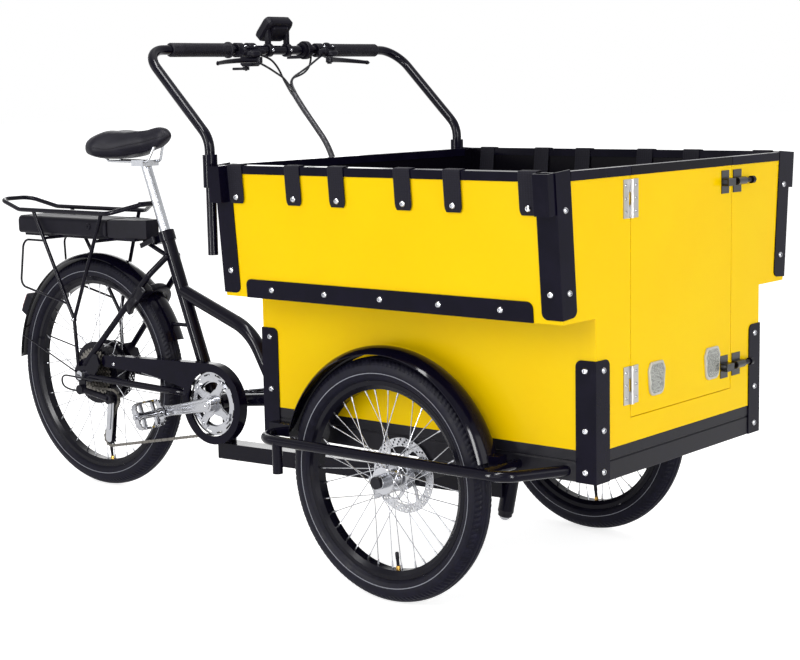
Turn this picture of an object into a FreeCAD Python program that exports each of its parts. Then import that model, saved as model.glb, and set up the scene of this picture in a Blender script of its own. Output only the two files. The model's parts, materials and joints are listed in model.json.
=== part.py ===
import FreeCAD, Part
import math
import os

V = FreeCAD.Vector

# Cargo tricycle: millimetres, +X forward, +Y to the rider's left, +Z up, ground at Z 0.
# Everything is drawn with X 0 at the front axle and shifted to the middle of the length when written.

# Wheels
WHEELBASE = 1334.0
WHEEL_OUT = 52.0
TYRE_SECTION = 55.0
FRONT_BEAD = 406.0
REAR_BEAD = 507.0
RIM_FLANGE = 6.0
RIM_DEPTH = 19.0
RIM_WALL = 3.0
SPOKE_R = 1.0
SPOKE_COUNT = 36
SPOKE_SPREAD = 1.25
SPOKE_SEAT = 0.4
ROTOR_R = 80.0
ROTOR_T = 2.0

# Front hubs, measured from the wheel's middle plane
HUB_AXLE_R = 10.0
HUB_BARREL_R = 17.0
HUB_FLANGE_R = 29.0
HUB_FLANGE_OUT = 22.0
HUB_FLANGE_T = 3.5
HUB_BOSS_R = 23.0
ROTOR_OFFSET = 44.0
HUB_OUTER_END = 38.0

# Cargo box
BOX_NOSE = 476.0
BOX_BACK = 404.0
BASE_GAP = 22.0
BASE_H = 63.0
BASE_WALL = 4.0
BASE_FLANGE = 18.0
GROOVE_Z = 38.0
GROOVE_W = 3.0
GROOVE_D = 1.5
FLOOR_LIFT = 40.0
STEP_ROOM = 84.0
WALL_H = 280.0
LOW_HALF = 318.0
STEP_W = 108.0
FLARE_OUT = 22.0
PANEL = 12.0
BENCH_W = 118.0

# Box trims
TRIM_T = 2.5
TRIM_LEG = 45.0
TRIM_ROUND = 14.0
LOW_TRIM_DROP = 82.0
UP_TRIM_LIFT = 8.0
CAP_T = 2.0
CAP_H = 16.0
STRIP_INSET = 65.0
STRIP_H = 40.0
STRIP_T = 3.0
SCREW_R = 5.5
SCREW_H = 3.0

# Harness straps over the side rims
STRAP_W = 42.0
STRAP_T = 2.0
STRAP_OUT = 78.0
STRAP_IN = 215.0
STRAP_END = 60.5
STRAP_SHARES = (0.0, 0.218, 0.376, 0.604, 0.767, 1.0)

# Corner sockets and handlebar sleeves
SOCKET_L = 34.0
SOCKET_D = 22.0
SOCKET_H = 76.0
SOCKET_WALL = 2.5
SLEEVE_R = 16.0
SLEEVE_DROP = 48.0
SLEEVE_H = 71.0
SLEEVE_BACK = 34.0

# Door, latches and reflectors
DOOR_SIDE = 123.0
DOOR_LIFT = 50.5
DOOR_GAP = 1.5
HINGE_H = 75.0
HINGE_LEAF = 22.0
HINGE_T = 2.0
KNUCKLE_R = 4.0
HINGE_PIN_R = 2.0
KNUCKLE_GAP = 0.3
HINGE_LOW = 26.5
HINGE_HIGH = 98.0
LATCH_LOW = 49.5
LATCH_HIGH = 49.0
LATCH_PLATE_T = 2.0
LATCH_BOLT_R = 5.0
LATCH_BARREL_R = 8.0
LATCH_H = 48.0
REFLECTOR_W = 62.0
REFLECTOR_H = 68.0
REFLECTOR_T = 5.0
REFLECTOR_LIFT = 30.5
REFLECTOR_HINGE_SIDE = 92.04
REFLECTOR_LATCH_SIDE = 78.975

# Front fenders and wheel guard rails
FENDER_GAP = 22.0
FENDER_W = 66.0
FENDER_DROP = 14.0
FENDER_WALL = 1.6
FENDER_FRONT = 15.0
FENDER_REAR = 165.0
RAIL_R = 11.0
RAIL_OUT = 122.0
RAIL_LIFT = 20.0
RAIL_FRONT_GAP = 87.0
RAIL_REAR_GAP = 47.0
RAIL_FOOT_INSET = 65.0
RAIL_BEND = 55.0
RUNG_GAP = 34.0
POST_INSET = 52.0
POST_DROP = 70.0

# Steering head, leaning forward at the top
HEAD_TILT = 12.0
HEAD_X = 32.0
HEAD_Z = 160.0
HEAD_LOW = -38.0
HEAD_HIGH = 42.0
HEAD_R = 18.0
HEAD_BORE = 14.0
KINGPIN_R = 12.5
CUP_FLANGE = 6.0
CUP_DEPTH = 12.0
CROWN_HALF = 35.0
AXLE_BEAM = 40.0
AXLE_WALL = 4.0

# Rear frame
CHAIN_STAY = 484.0
BB_Z = 278.0
BB_SHELL_R = 21.0
BB_SHELL_HALF = 36.5
SPINDLE_R = 10.0
SEAT_FOOT_BACK = 55.0
SEAT_FOOT_Z = 290.0
SEAT_ANGLE = 20.9
SEAT_TUBE_R = 17.5
SEAT_TUBE_TOP = 700.0
POST_R = 13.6
POST_SUNK = 160.0
POST_TOP = 880.0
BEAM_W = 50.0
BEAM_H = 40.0
BEAM_TAIL = 18.0
BEAM_REAR_Z = 151.0
BEAM_FRONT_Z = 174.0
UPPER_TUBE_R = 18.0
UPPER_TUBE_Z = 549.0
UPPER_BEND_AHEAD = 90.0
UPPER_BEND_Z = 462.0
UPPER_BEND_R = 150.0
UPPER_FOOT_AHEAD = 260.0
LOWER_TUBE_R = 16.0
STAY_R = 9.0
SEAT_STAY_R = 8.0
DROPOUT_IN = 67.5
DROPOUT_T = 6.0
REAR_AXLE_R = 6.0
FREE_FIT = 0.05
SOFT_GAP = 0.3

# Drive
CHAINLINE = -47.0
CHAIN_PITCH = 12.7
RING_TEETH = 38
COG_TEETH = (11, 13, 15, 18, 21, 24, 28, 32)
DRIVE_COG = 3
COG_STEP = 4.4
COG_T = 1.8
JOCKEY_TEETH = 11
JOCKEY_UP_X = 94.0
JOCKEY_UP_Z = -58.0
JOCKEY_LOW_X = 78.0
JOCKEY_LOW_Z = -166.0
CHAIN_HALF_H = 4.0
CHAIN_IN = 1.4
CHAIN_OUT = 3.0
CHAIN_PIN_R = 2.0
CASE_R = 103.0
CASE_HOLE = 82.0
CASE_FACE = -62.0
CASE_DEPTH = 26.0
CASE_WALL = 2.5
CASE_TAIL = 412.0
CRANK = 165.0
CRANK_ANGLE = 192.0
CRANK_IN = 66.0
CRANK_T = 13.0
PEDAL_L = 90.0
PEDAL_W = 72.0
PEDAL_H = 22.0
PEDAL_AXLE_R = 6.0
PEDAL_TILT = 70.0

# Rear guard, rack and battery
GUARD_GAP = 16.5
GUARD_W = 62.0
GUARD_DROP = 12.0
GUARD_FRONT = 20.0
GUARD_REAR = 177.0
RACK_HALF = 66.0
RACK_LIFT = 65.0
RACK_OVERHANG = 35.5
RACK_TUBE_R = 6.0
RACK_STAY_R = 5.0
HOOP_R = 3.0
BATTERY_HALF = 57.0
BATTERY_BACK = 260.0
BATTERY_BEHIND = 207.0
RACK_NOSE_INSET = 17.0
RACK_NOSE_TAPER = 80.0
RACK_FORE_INSET = 123.0
TRAY_INSET = 26.0
BATTERY_GAP = 46.5
BATTERY_H = 48.0

# Handlebar
BAR_R = 11.1
BAR_BACK = 200.0
BAR_RISE = 194.0
LEG_L = 250.0
LEG_RISE = 56.0
BAR_BEND = 60.0
GRIP_IN = 166.0
GRIP_INSET = 79.0
GRIP_R = 16.0
SCREEN_T = 24.0
SCREEN_TILT = 48.0
LEVER_X = 52.0
LEVER_DROP = 24.0
LEVER_PIVOT_Y = 122.0
LEVER_TIP_Y = 262.0
LEVER_T = 9.0
LOOM_R = 7.0
WIRE_R = 2.5

# Values worked out from those above
FRONT_R = FRONT_BEAD / 2 + TYRE_SECTION
REAR_R = REAR_BEAD / 2 + TYRE_SECTION
FRONT_HUB = V(0, 0, FRONT_R)
REAR_HUB = V(-WHEELBASE, 0, REAR_R)
BOX_TAIL = -BOX_BACK
BOX_LENGTH = BOX_NOSE + BOX_BACK
HALF_TRACK = LOW_HALF + WHEEL_OUT
STEP_HALF = LOW_HALF + STEP_W
RIM_HALF = STEP_HALF + FLARE_OUT
BENCH_INNER = LOW_HALF - BENCH_W
BASE_Z = FRONT_R + AXLE_BEAM / 2 + BASE_GAP
BASE_TOP = BASE_Z + BASE_H
FLOOR_Z = BASE_Z + FLOOR_LIFT
STEP_Z = 2 * FRONT_R + FENDER_GAP + STEP_ROOM
RIM_Z = STEP_Z + WALL_H
LOW_TRIM_TOP = STEP_Z - LOW_TRIM_DROP
STRIP_REAR = BOX_TAIL + STRIP_INSET
STRIP_FRONT = BOX_NOSE - STRIP_INSET
STRAP_RUN = BOX_LENGTH - 2 * STRAP_END
STRAP_PLACES = [BOX_TAIL + STRAP_END + STRAP_RUN * share for share in STRAP_SHARES]
DOOR_HALF = LOW_HALF - DOOR_SIDE
DOOR_FOOT = BASE_TOP + DOOR_LIFT
HINGE_PLACES = (DOOR_FOOT + HINGE_LOW, RIM_Z - HINGE_HIGH)
LATCH_PLACES = (DOOR_FOOT + LATCH_LOW, RIM_Z - LATCH_HIGH)
REFLECTOR_Z = DOOR_FOOT + REFLECTOR_LIFT
REFLECTOR_PLACES = (REFLECTOR_HINGE_SIDE - DOOR_HALF, DOOR_HALF - REFLECTOR_LATCH_SIDE)
RAIL_Y = LOW_HALF + RAIL_OUT
RAIL_Z = BASE_Z + RAIL_LIFT
RAIL_FRONT = FRONT_R + RAIL_FRONT_GAP
RAIL_REAR = -FRONT_R - RAIL_REAR_GAP
RAIL_FRONT_FOOT = BOX_NOSE - RAIL_FOOT_INSET
RAIL_REAR_FOOT = BOX_TAIL + RAIL_FOOT_INSET
RUNG_X = FRONT_R + RUNG_GAP
POST_X = RAIL_REAR + POST_INSET
FLARE = math.atan2(RIM_HALF - STEP_HALF, RIM_Z - STEP_Z)
SLOPE = (RIM_Z - STEP_Z) / math.cos(FLARE)
SLEEVE_X = BOX_TAIL - SLEEVE_BACK
SLEEVE_Y = STEP_HALF + 4.0
GRIP_OUT = SLEEVE_Y - GRIP_INSET
SLEEVE_Z = RIM_Z - SLEEVE_DROP
LEG_BEND_Z = RIM_Z + LEG_RISE
LEG_FOOT = LEG_BEND_Z - LEG_L
BAR_X = SLEEVE_X - BAR_BACK
BAR_Z = LEG_BEND_Z + BAR_RISE
LEVER_Z = BAR_Z - LEVER_DROP
BB_X = REAR_HUB.x + CHAIN_STAY
SEAT_FOOT_X = BB_X - SEAT_FOOT_BACK
BEAM_REAR_X = BB_X - BEAM_TAIL
UPPER_BEND_X = BB_X + UPPER_BEND_AHEAD
UPPER_FOOT_X = BB_X + UPPER_FOOT_AHEAD
GUARD_R = REAR_R + GUARD_GAP
BATTERY_Z = REAR_R + GUARD_R + BATTERY_GAP
RACK_Z = BATTERY_Z + RACK_LIFT
BATTERY_REAR = REAR_HUB.x - BATTERY_BACK
BATTERY_NOSE = SEAT_FOOT_X - BATTERY_BEHIND
TILT = math.radians(HEAD_TILT)
HEAD_DIR = V(math.sin(TILT), 0, math.cos(TILT))
HEAD = V(HEAD_X, 0, HEAD_Z)
LEAN = math.radians(SEAT_ANGLE)
SEAT_DIR = V(-math.sin(LEAN), 0, math.cos(LEAN))
SEAT_FOOT = V(SEAT_FOOT_X, 0, SEAT_FOOT_Z)
BB = V(BB_X, 0, BB_Z)
DROPOUT_OUT = DROPOUT_IN + DROPOUT_T
FACE_TOP = BOX_NOSE + TRIM_T
LATCH_REACH = BOX_NOSE + LATCH_PLATE_T + 2 * LATCH_BARREL_R
RACK_TAIL = REAR_HUB.x - REAR_R - RACK_OVERHANG
SHIFT = -(LATCH_REACH + RACK_TAIL - RACK_TUBE_R) / 2


def chain_radius(teeth):
    """Pitch radius of a chain wheel: pitch over twice the sine of half a tooth's angle."""
    return CHAIN_PITCH / (2 * math.sin(math.pi / teeth))


RING_R = chain_radius(RING_TEETH)
COG_R = chain_radius(COG_TEETH[DRIVE_COG])
JOCKEY_R = chain_radius(JOCKEY_TEETH)
JOCKEY_UP = V(REAR_HUB.x + JOCKEY_UP_X, 0, REAR_HUB.z + JOCKEY_UP_Z)
JOCKEY_LOW = V(REAR_HUB.x + JOCKEY_LOW_X, 0, REAR_HUB.z + JOCKEY_LOW_Z)


def block(x0, x1, y0, y1, z0, z1):
    """Box between two corners."""
    return Part.makeBox(x1 - x0, y1 - y0, z1 - z0, V(x0, y0, z0))


def rod(start, end, radius):
    """Round bar between two points."""
    run = end - start
    return Part.makeCylinder(radius, run.Length, start, run)


def fused(shapes):
    """One solid from several that meet."""
    return shapes[0].multiFuse(shapes[1:]).removeSplitter()


def mirrored(shape):
    """The same piece on the other side of the middle plane."""
    return shape.mirror(V(0, 0, 0), V(0, 1, 0))


def both(shapes):
    """Pieces and their mirror images."""
    return shapes + [mirrored(shape) for shape in shapes]


def corner_arc(before, corner, after, radius):
    """Start, middle and end of the arc that rounds a corner."""
    back = (before - corner).normalize()
    ahead = (after - corner).normalize()
    half = back.getAngle(ahead) / 2
    inward = (back + ahead).normalize()
    reach = radius / math.tan(half)
    depth = radius / math.sin(half) - radius
    return corner + back * reach, corner + inward * depth, corner + ahead * reach


def bent_path(points, radii):
    """Straight runs joined by tangent arcs."""
    edges = []
    begin = points[0]
    for index, radius in enumerate(radii):
        first, middle, last = corner_arc(*points[index:index + 3], radius)
        edges.append(Part.LineSegment(begin, first).toShape())
        edges.append(Part.Arc(first, middle, last).toShape())
        begin = last
    edges.append(Part.LineSegment(begin, points[-1]).toShape())
    return Part.Wire(edges)


def pipe(points, radii, radius):
    """Round bar carried along straight runs and tangent arcs."""
    path = bent_path(points, radii)
    ring = Part.Wire([Part.makeCircle(radius, points[0], points[1] - points[0])])
    return path.makePipeShell([ring], True, False)


def cord(points, radius):
    """Cord on a route, each arc as large as its two runs allow."""
    radii = []
    for before, corner, after in zip(points, points[1:], points[2:]):
        half = (before - corner).getAngle(after - corner) / 2
        shorter = min((before - corner).Length, (after - corner).Length)
        radii.append(0.45 * shorter * math.tan(half))
    print("cord radii", [round(value, 1) for value in radii])
    return pipe(points, radii, radius)


def rounded_face(points, radii):
    """Flat face on the given corners, each rounded by its radius, 0 for a sharp one."""
    edges = []
    count = len(points)
    ends = []
    for index, corner in enumerate(points):
        if radii[index]:
            arc = corner_arc(points[index - 1], corner, points[(index + 1) % count], radii[index])
            edges.append(Part.Arc(*arc).toShape())
            ends.append((arc[0], arc[2]))
        else:
            ends.append((corner, corner))
    for index in range(count):
        begin = ends[index][1]
        end = ends[(index + 1) % count][0]
        if (end - begin).Length > 1e-6:
            edges.append(Part.LineSegment(begin, end).toShape())
    return Part.Face(Part.Wire(Part.__sortEdges__(edges)))


def turned(profile, centre):
    """Solid of revolution about the line through centre along Y, from (radius, y) corners."""
    corners = [V(centre.x + radius, y, centre.z) for radius, y in profile]
    face = Part.Face(Part.makePolygon(corners + corners[:1]))
    return face.revolve(V(centre.x, 0, centre.z), V(0, -1, 0), 360)


def disc(centre, radius, y0, y1):
    """Round disc across the vehicle."""
    return Part.makeCylinder(radius, y1 - y0, V(centre.x, y0, centre.z), V(0, 1, 0))


def wheel_guard(hub, mid_y, radius, width, drop, wall, begin, end):
    """Crowned strip carried round an axle from one angle to another, 0 forward and 90 up."""
    half = width / 2

    def at(r, y):
        return V(hub.x + r, mid_y + y, hub.z)

    corners = (at(radius - drop, -half), at(radius - drop, half))
    feet = (at(radius - drop - wall, -half), at(radius - drop - wall, half))
    outer = Part.Arc(corners[0], at(radius, 0), corners[1]).toShape()
    inner = Part.Arc(feet[1], at(radius - wall, 0), feet[0]).toShape()
    sides = [Part.LineSegment(corners[1], feet[1]).toShape()]
    sides.append(Part.LineSegment(feet[0], corners[0]).toShape())
    face = Part.Face(Part.Wire([outer, sides[0], inner, sides[1]]))
    centre = V(hub.x, 0, hub.z)
    guard = face.revolve(centre, V(0, -1, 0), end - begin)
    guard.rotate(centre, V(0, -1, 0), begin)
    return guard


def write(node, shapes):
    """One file per named piece, shifted to the middle of the length."""
    whole = Part.makeCompound(shapes) if len(shapes) > 1 else shapes[0].copy()
    whole.translate(V(SHIFT, 0, 0))
    for solid in whole.Solids:
        if not solid.isValid() or solid.Volume <= 0:
            print("CHECK", node, solid.isValid(), solid.Volume)
    whole.exportStep("parts/%s.step" % node)


def tyre(hub, mid_y, bead):
    """Round tyre cut off where it sits on the rim."""
    centre = V(hub.x, mid_y, hub.z)
    ring = Part.makeTorus((bead + TYRE_SECTION) / 2, TYRE_SECTION / 2, centre, V(0, 1, 0))
    return ring.cut(disc(hub, bead / 2 + RIM_FLANGE, mid_y - TYRE_SECTION, mid_y + TYRE_SECTION))


def rim_seat(bead):
    """Half width of the tyre where it meets the rim."""
    rise = TYRE_SECTION / 2 - RIM_FLANGE
    return math.sqrt((TYRE_SECTION / 2) ** 2 - rise ** 2) - 0.1


def rim(hub, mid_y, bead):
    """Channel rim: two flanges, sloping walls and a narrow floor."""
    outer = bead / 2 + RIM_FLANGE
    inner = outer - RIM_DEPTH
    wide = rim_seat(bead)
    shoulder = outer - RIM_DEPTH / 2
    floor = wide * 0.65
    inside = wide - RIM_WALL
    profile = [(outer, wide), (shoulder, wide), (inner, floor), (inner, -floor), (shoulder, -wide)]
    profile += [(outer, -wide), (outer, -inside), (shoulder + RIM_WALL / 2, -inside)]
    profile += [(inner + RIM_WALL, RIM_WALL - floor), (inner + RIM_WALL, floor - RIM_WALL)]
    profile += [(shoulder + RIM_WALL / 2, inside), (outer, inside)]
    return turned([(radius, mid_y + y) for radius, y in profile], hub)


def spokes(hub, mid_y, bead, flange_r, flange_y, sweep):
    """Crossed spokes from two hub flanges to the rim, leading and trailing ones side by side."""
    rim_r = bead / 2 + RIM_FLANGE - RIM_DEPTH - SPOKE_SEAT
    hub_r = flange_r + SPOKE_SEAT
    pieces = []
    for index in range(SPOKE_COUNT):
        side = 1 if index % 2 else -1
        lead = 1 if (index // 2) % 2 else -1
        rim_angle = 2 * math.pi * index / SPOKE_COUNT
        hub_angle = rim_angle - lead * sweep
        shift = lead * SPOKE_SPREAD
        foot_y = mid_y + side * flange_y + shift
        head_y = mid_y + side * (SPOKE_R + 2 * SPOKE_SPREAD) + shift
        foot = V(hub.x + hub_r * math.cos(hub_angle), foot_y, hub.z + hub_r * math.sin(hub_angle))
        head = V(hub.x + rim_r * math.cos(rim_angle), head_y, hub.z + rim_r * math.sin(rim_angle))
        pieces.append(rod(foot, head, SPOKE_R))
    return pieces


def rotor(hub, y0, bore_r):
    """Brake disc with round windows between its arms."""
    plate = disc(hub, ROTOR_R, y0, y0 + ROTOR_T).cut(disc(hub, bore_r, y0, y0 + ROTOR_T))
    window_r = ROTOR_R * 0.2
    for index in range(6):
        angle = math.pi * index / 3
        reach = (bore_r + ROTOR_R * 0.8) / 2 + 1
        middle = V(hub.x + reach * math.cos(angle), 0, hub.z + reach * math.sin(angle))
        plate = plate.cut(disc(middle, window_r, y0, y0 + ROTOR_T))
    return plate


def front_wheel_right():
    """Tyre, rim, spokes and hub with rotor of the right front wheel."""
    mid = -HALF_TRACK
    bore = HUB_AXLE_R + FREE_FIT
    flange_in = HUB_FLANGE_OUT - HUB_FLANGE_T
    rotor_face = mid + ROTOR_OFFSET
    shell = [(bore, -HUB_OUTER_END), (HUB_BARREL_R - 2, -HUB_OUTER_END), (HUB_BARREL_R - 2, -HUB_FLANGE_OUT)]
    shell += [(HUB_FLANGE_R, -HUB_FLANGE_OUT), (HUB_FLANGE_R, -flange_in), (HUB_BARREL_R, -flange_in)]
    shell += [(HUB_BARREL_R, flange_in), (HUB_FLANGE_R, flange_in), (HUB_FLANGE_R, HUB_FLANGE_OUT)]
    shell += [(HUB_BOSS_R, HUB_FLANGE_OUT), (HUB_BOSS_R, ROTOR_OFFSET), (HUB_BARREL_R, ROTOR_OFFSET)]
    shell += [(HUB_BARREL_R, ROTOR_OFFSET + ROTOR_T), (bore, ROTOR_OFFSET + ROTOR_T)]
    hub = turned([(radius, mid + y) for radius, y in shell], FRONT_HUB)
    flange_y = HUB_FLANGE_OUT - HUB_FLANGE_T / 2
    wires = spokes(FRONT_HUB, mid, FRONT_BEAD, HUB_FLANGE_R, flange_y, math.radians(55))
    return {
        "front_tyre": [tyre(FRONT_HUB, mid, FRONT_BEAD)],
        "front_rim": [rim(FRONT_HUB, mid, FRONT_BEAD)],
        "front_spokes": wires,
        "front_hub": [hub, rotor(FRONT_HUB, rotor_face, HUB_BARREL_R)],
    }


def flared(shape):
    """Stands a piece on the left upper side: x along the box, y out from its face, z up its slope."""
    placed = shape.copy()
    placed.rotate(V(0, 0, 0), V(1, 0, 0), -math.degrees(FLARE))
    placed.translate(V(0, STEP_HALF, STEP_Z))
    return placed


def box_panels():
    """Side walls, stepped end walls; the front one is open for the door."""
    inner = BOX_NOSE - PANEL
    behind = BOX_TAIL + PANEL
    outline = [(-LOW_HALF, BASE_TOP), (LOW_HALF, BASE_TOP), (LOW_HALF, STEP_Z), (STEP_HALF, STEP_Z)]
    outline += [(RIM_HALF, RIM_Z), (-RIM_HALF, RIM_Z), (-STEP_HALF, STEP_Z), (-LOW_HALF, STEP_Z)]
    corners = [V(0, y, z) for y, z in outline]
    end = Part.Face(Part.makePolygon(corners + corners[:1])).extrude(V(PANEL, 0, 0))
    rear = end.copy()
    rear.translate(V(BOX_TAIL, 0, 0))
    front = end.copy()
    front.translate(V(inner, 0, 0))
    gap = DOOR_HALF + DOOR_GAP
    front = front.cut(block(inner, BOX_NOSE, -gap, gap, DOOR_FOOT - DOOR_GAP, RIM_Z))
    low_side = block(behind, inner, LOW_HALF - PANEL, LOW_HALF, BASE_TOP, STEP_Z)
    high_side = flared(block(behind, inner, -PANEL, 0, 0, SLOPE))
    return both([low_side, high_side]) + [front, rear]


def floor_and_benches():
    """Floor board, and on each side a seat board over the wheel step, its front board and a side floor."""
    behind = BOX_TAIL + PANEL
    inner = BOX_NOSE - PANEL
    ring_in = LOW_HALF - BASE_FLANGE
    ring_x = (BOX_TAIL + BASE_FLANGE, BOX_NOSE - BASE_FLANGE)
    floor = block(*ring_x, -BENCH_INNER, BENCH_INNER, FLOOR_Z, FLOOR_Z + PANEL)
    wing = block(*ring_x, BENCH_INNER + PANEL, ring_in, FLOOR_Z, FLOOR_Z + PANEL)
    edge = STEP_HALF - PANEL / math.cos(FLARE) - 0.1
    seat = block(behind, inner, BENCH_INNER, edge, STEP_Z, STEP_Z + PANEL)
    apron = block(*ring_x, BENCH_INNER, BENCH_INNER + PANEL, FLOOR_Z, STEP_Z)
    return [floor] + both([wing, seat, apron])


def base_frame():
    """Channel ring round the floor with a shadow groove, and three channel cross rails."""
    outer = block(BOX_TAIL, BOX_NOSE, -LOW_HALF, LOW_HALF, BASE_Z, BASE_TOP)
    wide = BASE_FLANGE
    hollow = block(BOX_TAIL + wide, BOX_NOSE - wide, wide - LOW_HALF, LOW_HALF - wide, BASE_Z, BASE_TOP)
    wall = BASE_WALL
    channel = block(BOX_TAIL + wall, BOX_NOSE - wall, wall - LOW_HALF, LOW_HALF - wall,
                    BASE_Z + wall, BASE_TOP - wall)
    low = BASE_Z + GROOVE_Z
    groove = block(BOX_TAIL, BOX_NOSE, -LOW_HALF, LOW_HALF, low, low + GROOVE_W)
    deep = GROOVE_D
    groove = groove.cut(block(BOX_TAIL + deep, BOX_NOSE - deep, deep - LOW_HALF, LOW_HALF - deep,
                              low, low + GROOVE_W))
    ring = outer.cut(hollow).cut(channel).cut(groove)
    rails = []
    half = LOW_HALF - BASE_WALL
    for x0, x1 in ((BOX_TAIL + 120, BOX_TAIL + 170), (-30, 100), (BOX_NOSE - 190, BOX_NOSE - 140)):
        rail = block(x0, x1, -half, half, BASE_Z + wall, FLOOR_Z)
        rail = rail.cut(block(x0 + wall, x1 - wall, -half, half, BASE_Z + 2 * wall, FLOOR_Z))
        rails.append(rail)
    return [fused([ring] + rails)]


def corner_trims():
    """Folded angles on the eight box corners: four high on the flare, four low down to the base."""
    pieces = []
    high = SLOPE + CAP_T
    for nose, out in ((BOX_NOSE, 1), (BOX_TAIL, -1)):
        free = nose - out * TRIM_LEG
        face = nose + out * TRIM_T
        side = [V(free, 0, UP_TRIM_LIFT), V(face, 0, UP_TRIM_LIFT), V(face, 0, high), V(free, 0, high)]
        leg = rounded_face(side, [TRIM_ROUND, 0, 0, 0]).extrude(V(0, TRIM_T, 0))
        end = [V(nose, -TRIM_LEG, UP_TRIM_LIFT), V(nose, TRIM_T, UP_TRIM_LIFT)]
        end += [V(nose, TRIM_T, high), V(nose, -TRIM_LEG, high)]
        flap = rounded_face(end, [TRIM_ROUND, 0, 0, 0]).extrude(V(out * TRIM_T, 0, 0))
        pieces.append(flared(fused([leg, flap])))
        side = [V(free, LOW_HALF, BASE_Z), V(face, LOW_HALF, BASE_Z)]
        side += [V(face, LOW_HALF, LOW_TRIM_TOP), V(free, LOW_HALF, LOW_TRIM_TOP)]
        leg = rounded_face(side, [0, 0, 0, TRIM_ROUND]).extrude(V(0, TRIM_T, 0))
        wide = LOW_HALF + TRIM_T
        inside = LOW_HALF - TRIM_LEG
        end = [V(nose, inside, BASE_Z), V(nose, wide, BASE_Z), V(nose, wide, LOW_TRIM_TOP)]
        end += [V(nose, inside, LOW_TRIM_TOP)]
        flap = rounded_face(end, [0, 0, 0, TRIM_ROUND]).extrude(V(out * TRIM_T, 0, 0))
        pieces.append(fused([leg, flap]))
    return both(pieces)


def end_cap(x0, y0, y1):
    """Folded cap over the top edge of an end wall or the door."""
    cap = block(x0 - CAP_T, x0 + PANEL + CAP_T, y0, y1, RIM_Z - CAP_H, RIM_Z + CAP_T)
    return cap.cut(block(x0, x0 + PANEL, y0, y1, RIM_Z - CAP_H, RIM_Z))


def edge_trims():
    """Caps over the rim between the corners, and the strip along each side's step."""
    x0 = BOX_TAIL + TRIM_LEG + DOOR_GAP
    x1 = BOX_NOSE - TRIM_LEG - DOOR_GAP
    cap = block(x0, x1, -PANEL - CAP_T, CAP_T, SLOPE - CAP_H, SLOPE + CAP_T)
    cap = flared(cap.cut(block(x0, x1, -PANEL, 0, SLOPE - CAP_H, SLOPE)))
    corners = [V(STRIP_REAR, 0, 0), V(STRIP_FRONT, 0, 0), V(STRIP_FRONT, 0, STRIP_H), V(STRIP_REAR, 0, STRIP_H)]
    strip = rounded_face(corners, [0, 0, TRIM_ROUND, TRIM_ROUND]).extrude(V(0, STRIP_T, 0))
    corner = RIM_HALF - TRIM_LEG - 2 * DOOR_GAP
    front = end_cap(BOX_NOSE - PANEL, DOOR_HALF + DOOR_GAP, corner)
    rear = end_cap(BOX_TAIL, -corner, corner)
    return both([cap, flared(strip), front]) + [rear]


def strap():
    """Webbing folded over the side rim, long leg inside, on the left at X 0."""
    half = STRAP_W / 2
    outer = TRIM_T + SOFT_GAP
    inner = -PANEL - CAP_T - SOFT_GAP
    top = SLOPE + CAP_T + SOFT_GAP
    outside = block(-half, half, outer, outer + STRAP_T, SLOPE - STRAP_OUT, top + STRAP_T)
    over = block(-half, half, inner - STRAP_T, outer + STRAP_T, top, top + STRAP_T)
    inside = block(-half, half, inner - STRAP_T, inner, SLOPE - STRAP_IN, top + STRAP_T)
    return fused([outside, over, inside])


def harness_straps():
    """Six straps along each side of the box."""
    pieces = []
    for place in STRAP_PLACES:
        piece = strap()
        piece.translate(V(place, 0, 0))
        pieces.append(flared(piece))
    return both(pieces)


def screw(place, way):
    """Domed screw head standing on a face."""
    return Part.makeCone(SCREW_R, SCREW_R * 0.55, SCREW_H, place, way)


def panel_screws():
    """Screw heads on the corner angles, the side strips and the straps."""
    left = V(0, 1, 0)
    pieces = []
    for nose, out in ((BOX_NOSE, 1), (BOX_TAIL, -1)):
        way = V(out, 0, 0)
        mid = nose - out * TRIM_LEG / 2
        face = nose + out * TRIM_T
        for rise in (0.2, 0.75):
            pieces.append(flared(screw(V(face, -TRIM_LEG / 2, SLOPE * rise), way)))
        pieces.append(flared(screw(V(mid, TRIM_T, SLOPE * 0.2), left)))
        for height in (BASE_Z + 22, BASE_TOP + 40, LOW_TRIM_TOP - 20):
            pieces.append(screw(V(mid, LOW_HALF + TRIM_T, height), left))
            pieces.append(screw(V(face, LOW_HALF - TRIM_LEG / 2, height), way))
    for index in range(5):
        along = STRIP_REAR + (STRIP_FRONT - STRIP_REAR) * (index + 0.5) / 5
        pieces.append(flared(screw(V(along, STRIP_T, STRIP_H / 2), left)))
    for place in STRAP_PLACES:
        height = SLOPE - STRAP_OUT + 13
        pieces.append(flared(screw(V(place, TRIM_T + SOFT_GAP + STRAP_T, height), left)))
    return both(pieces)


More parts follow.
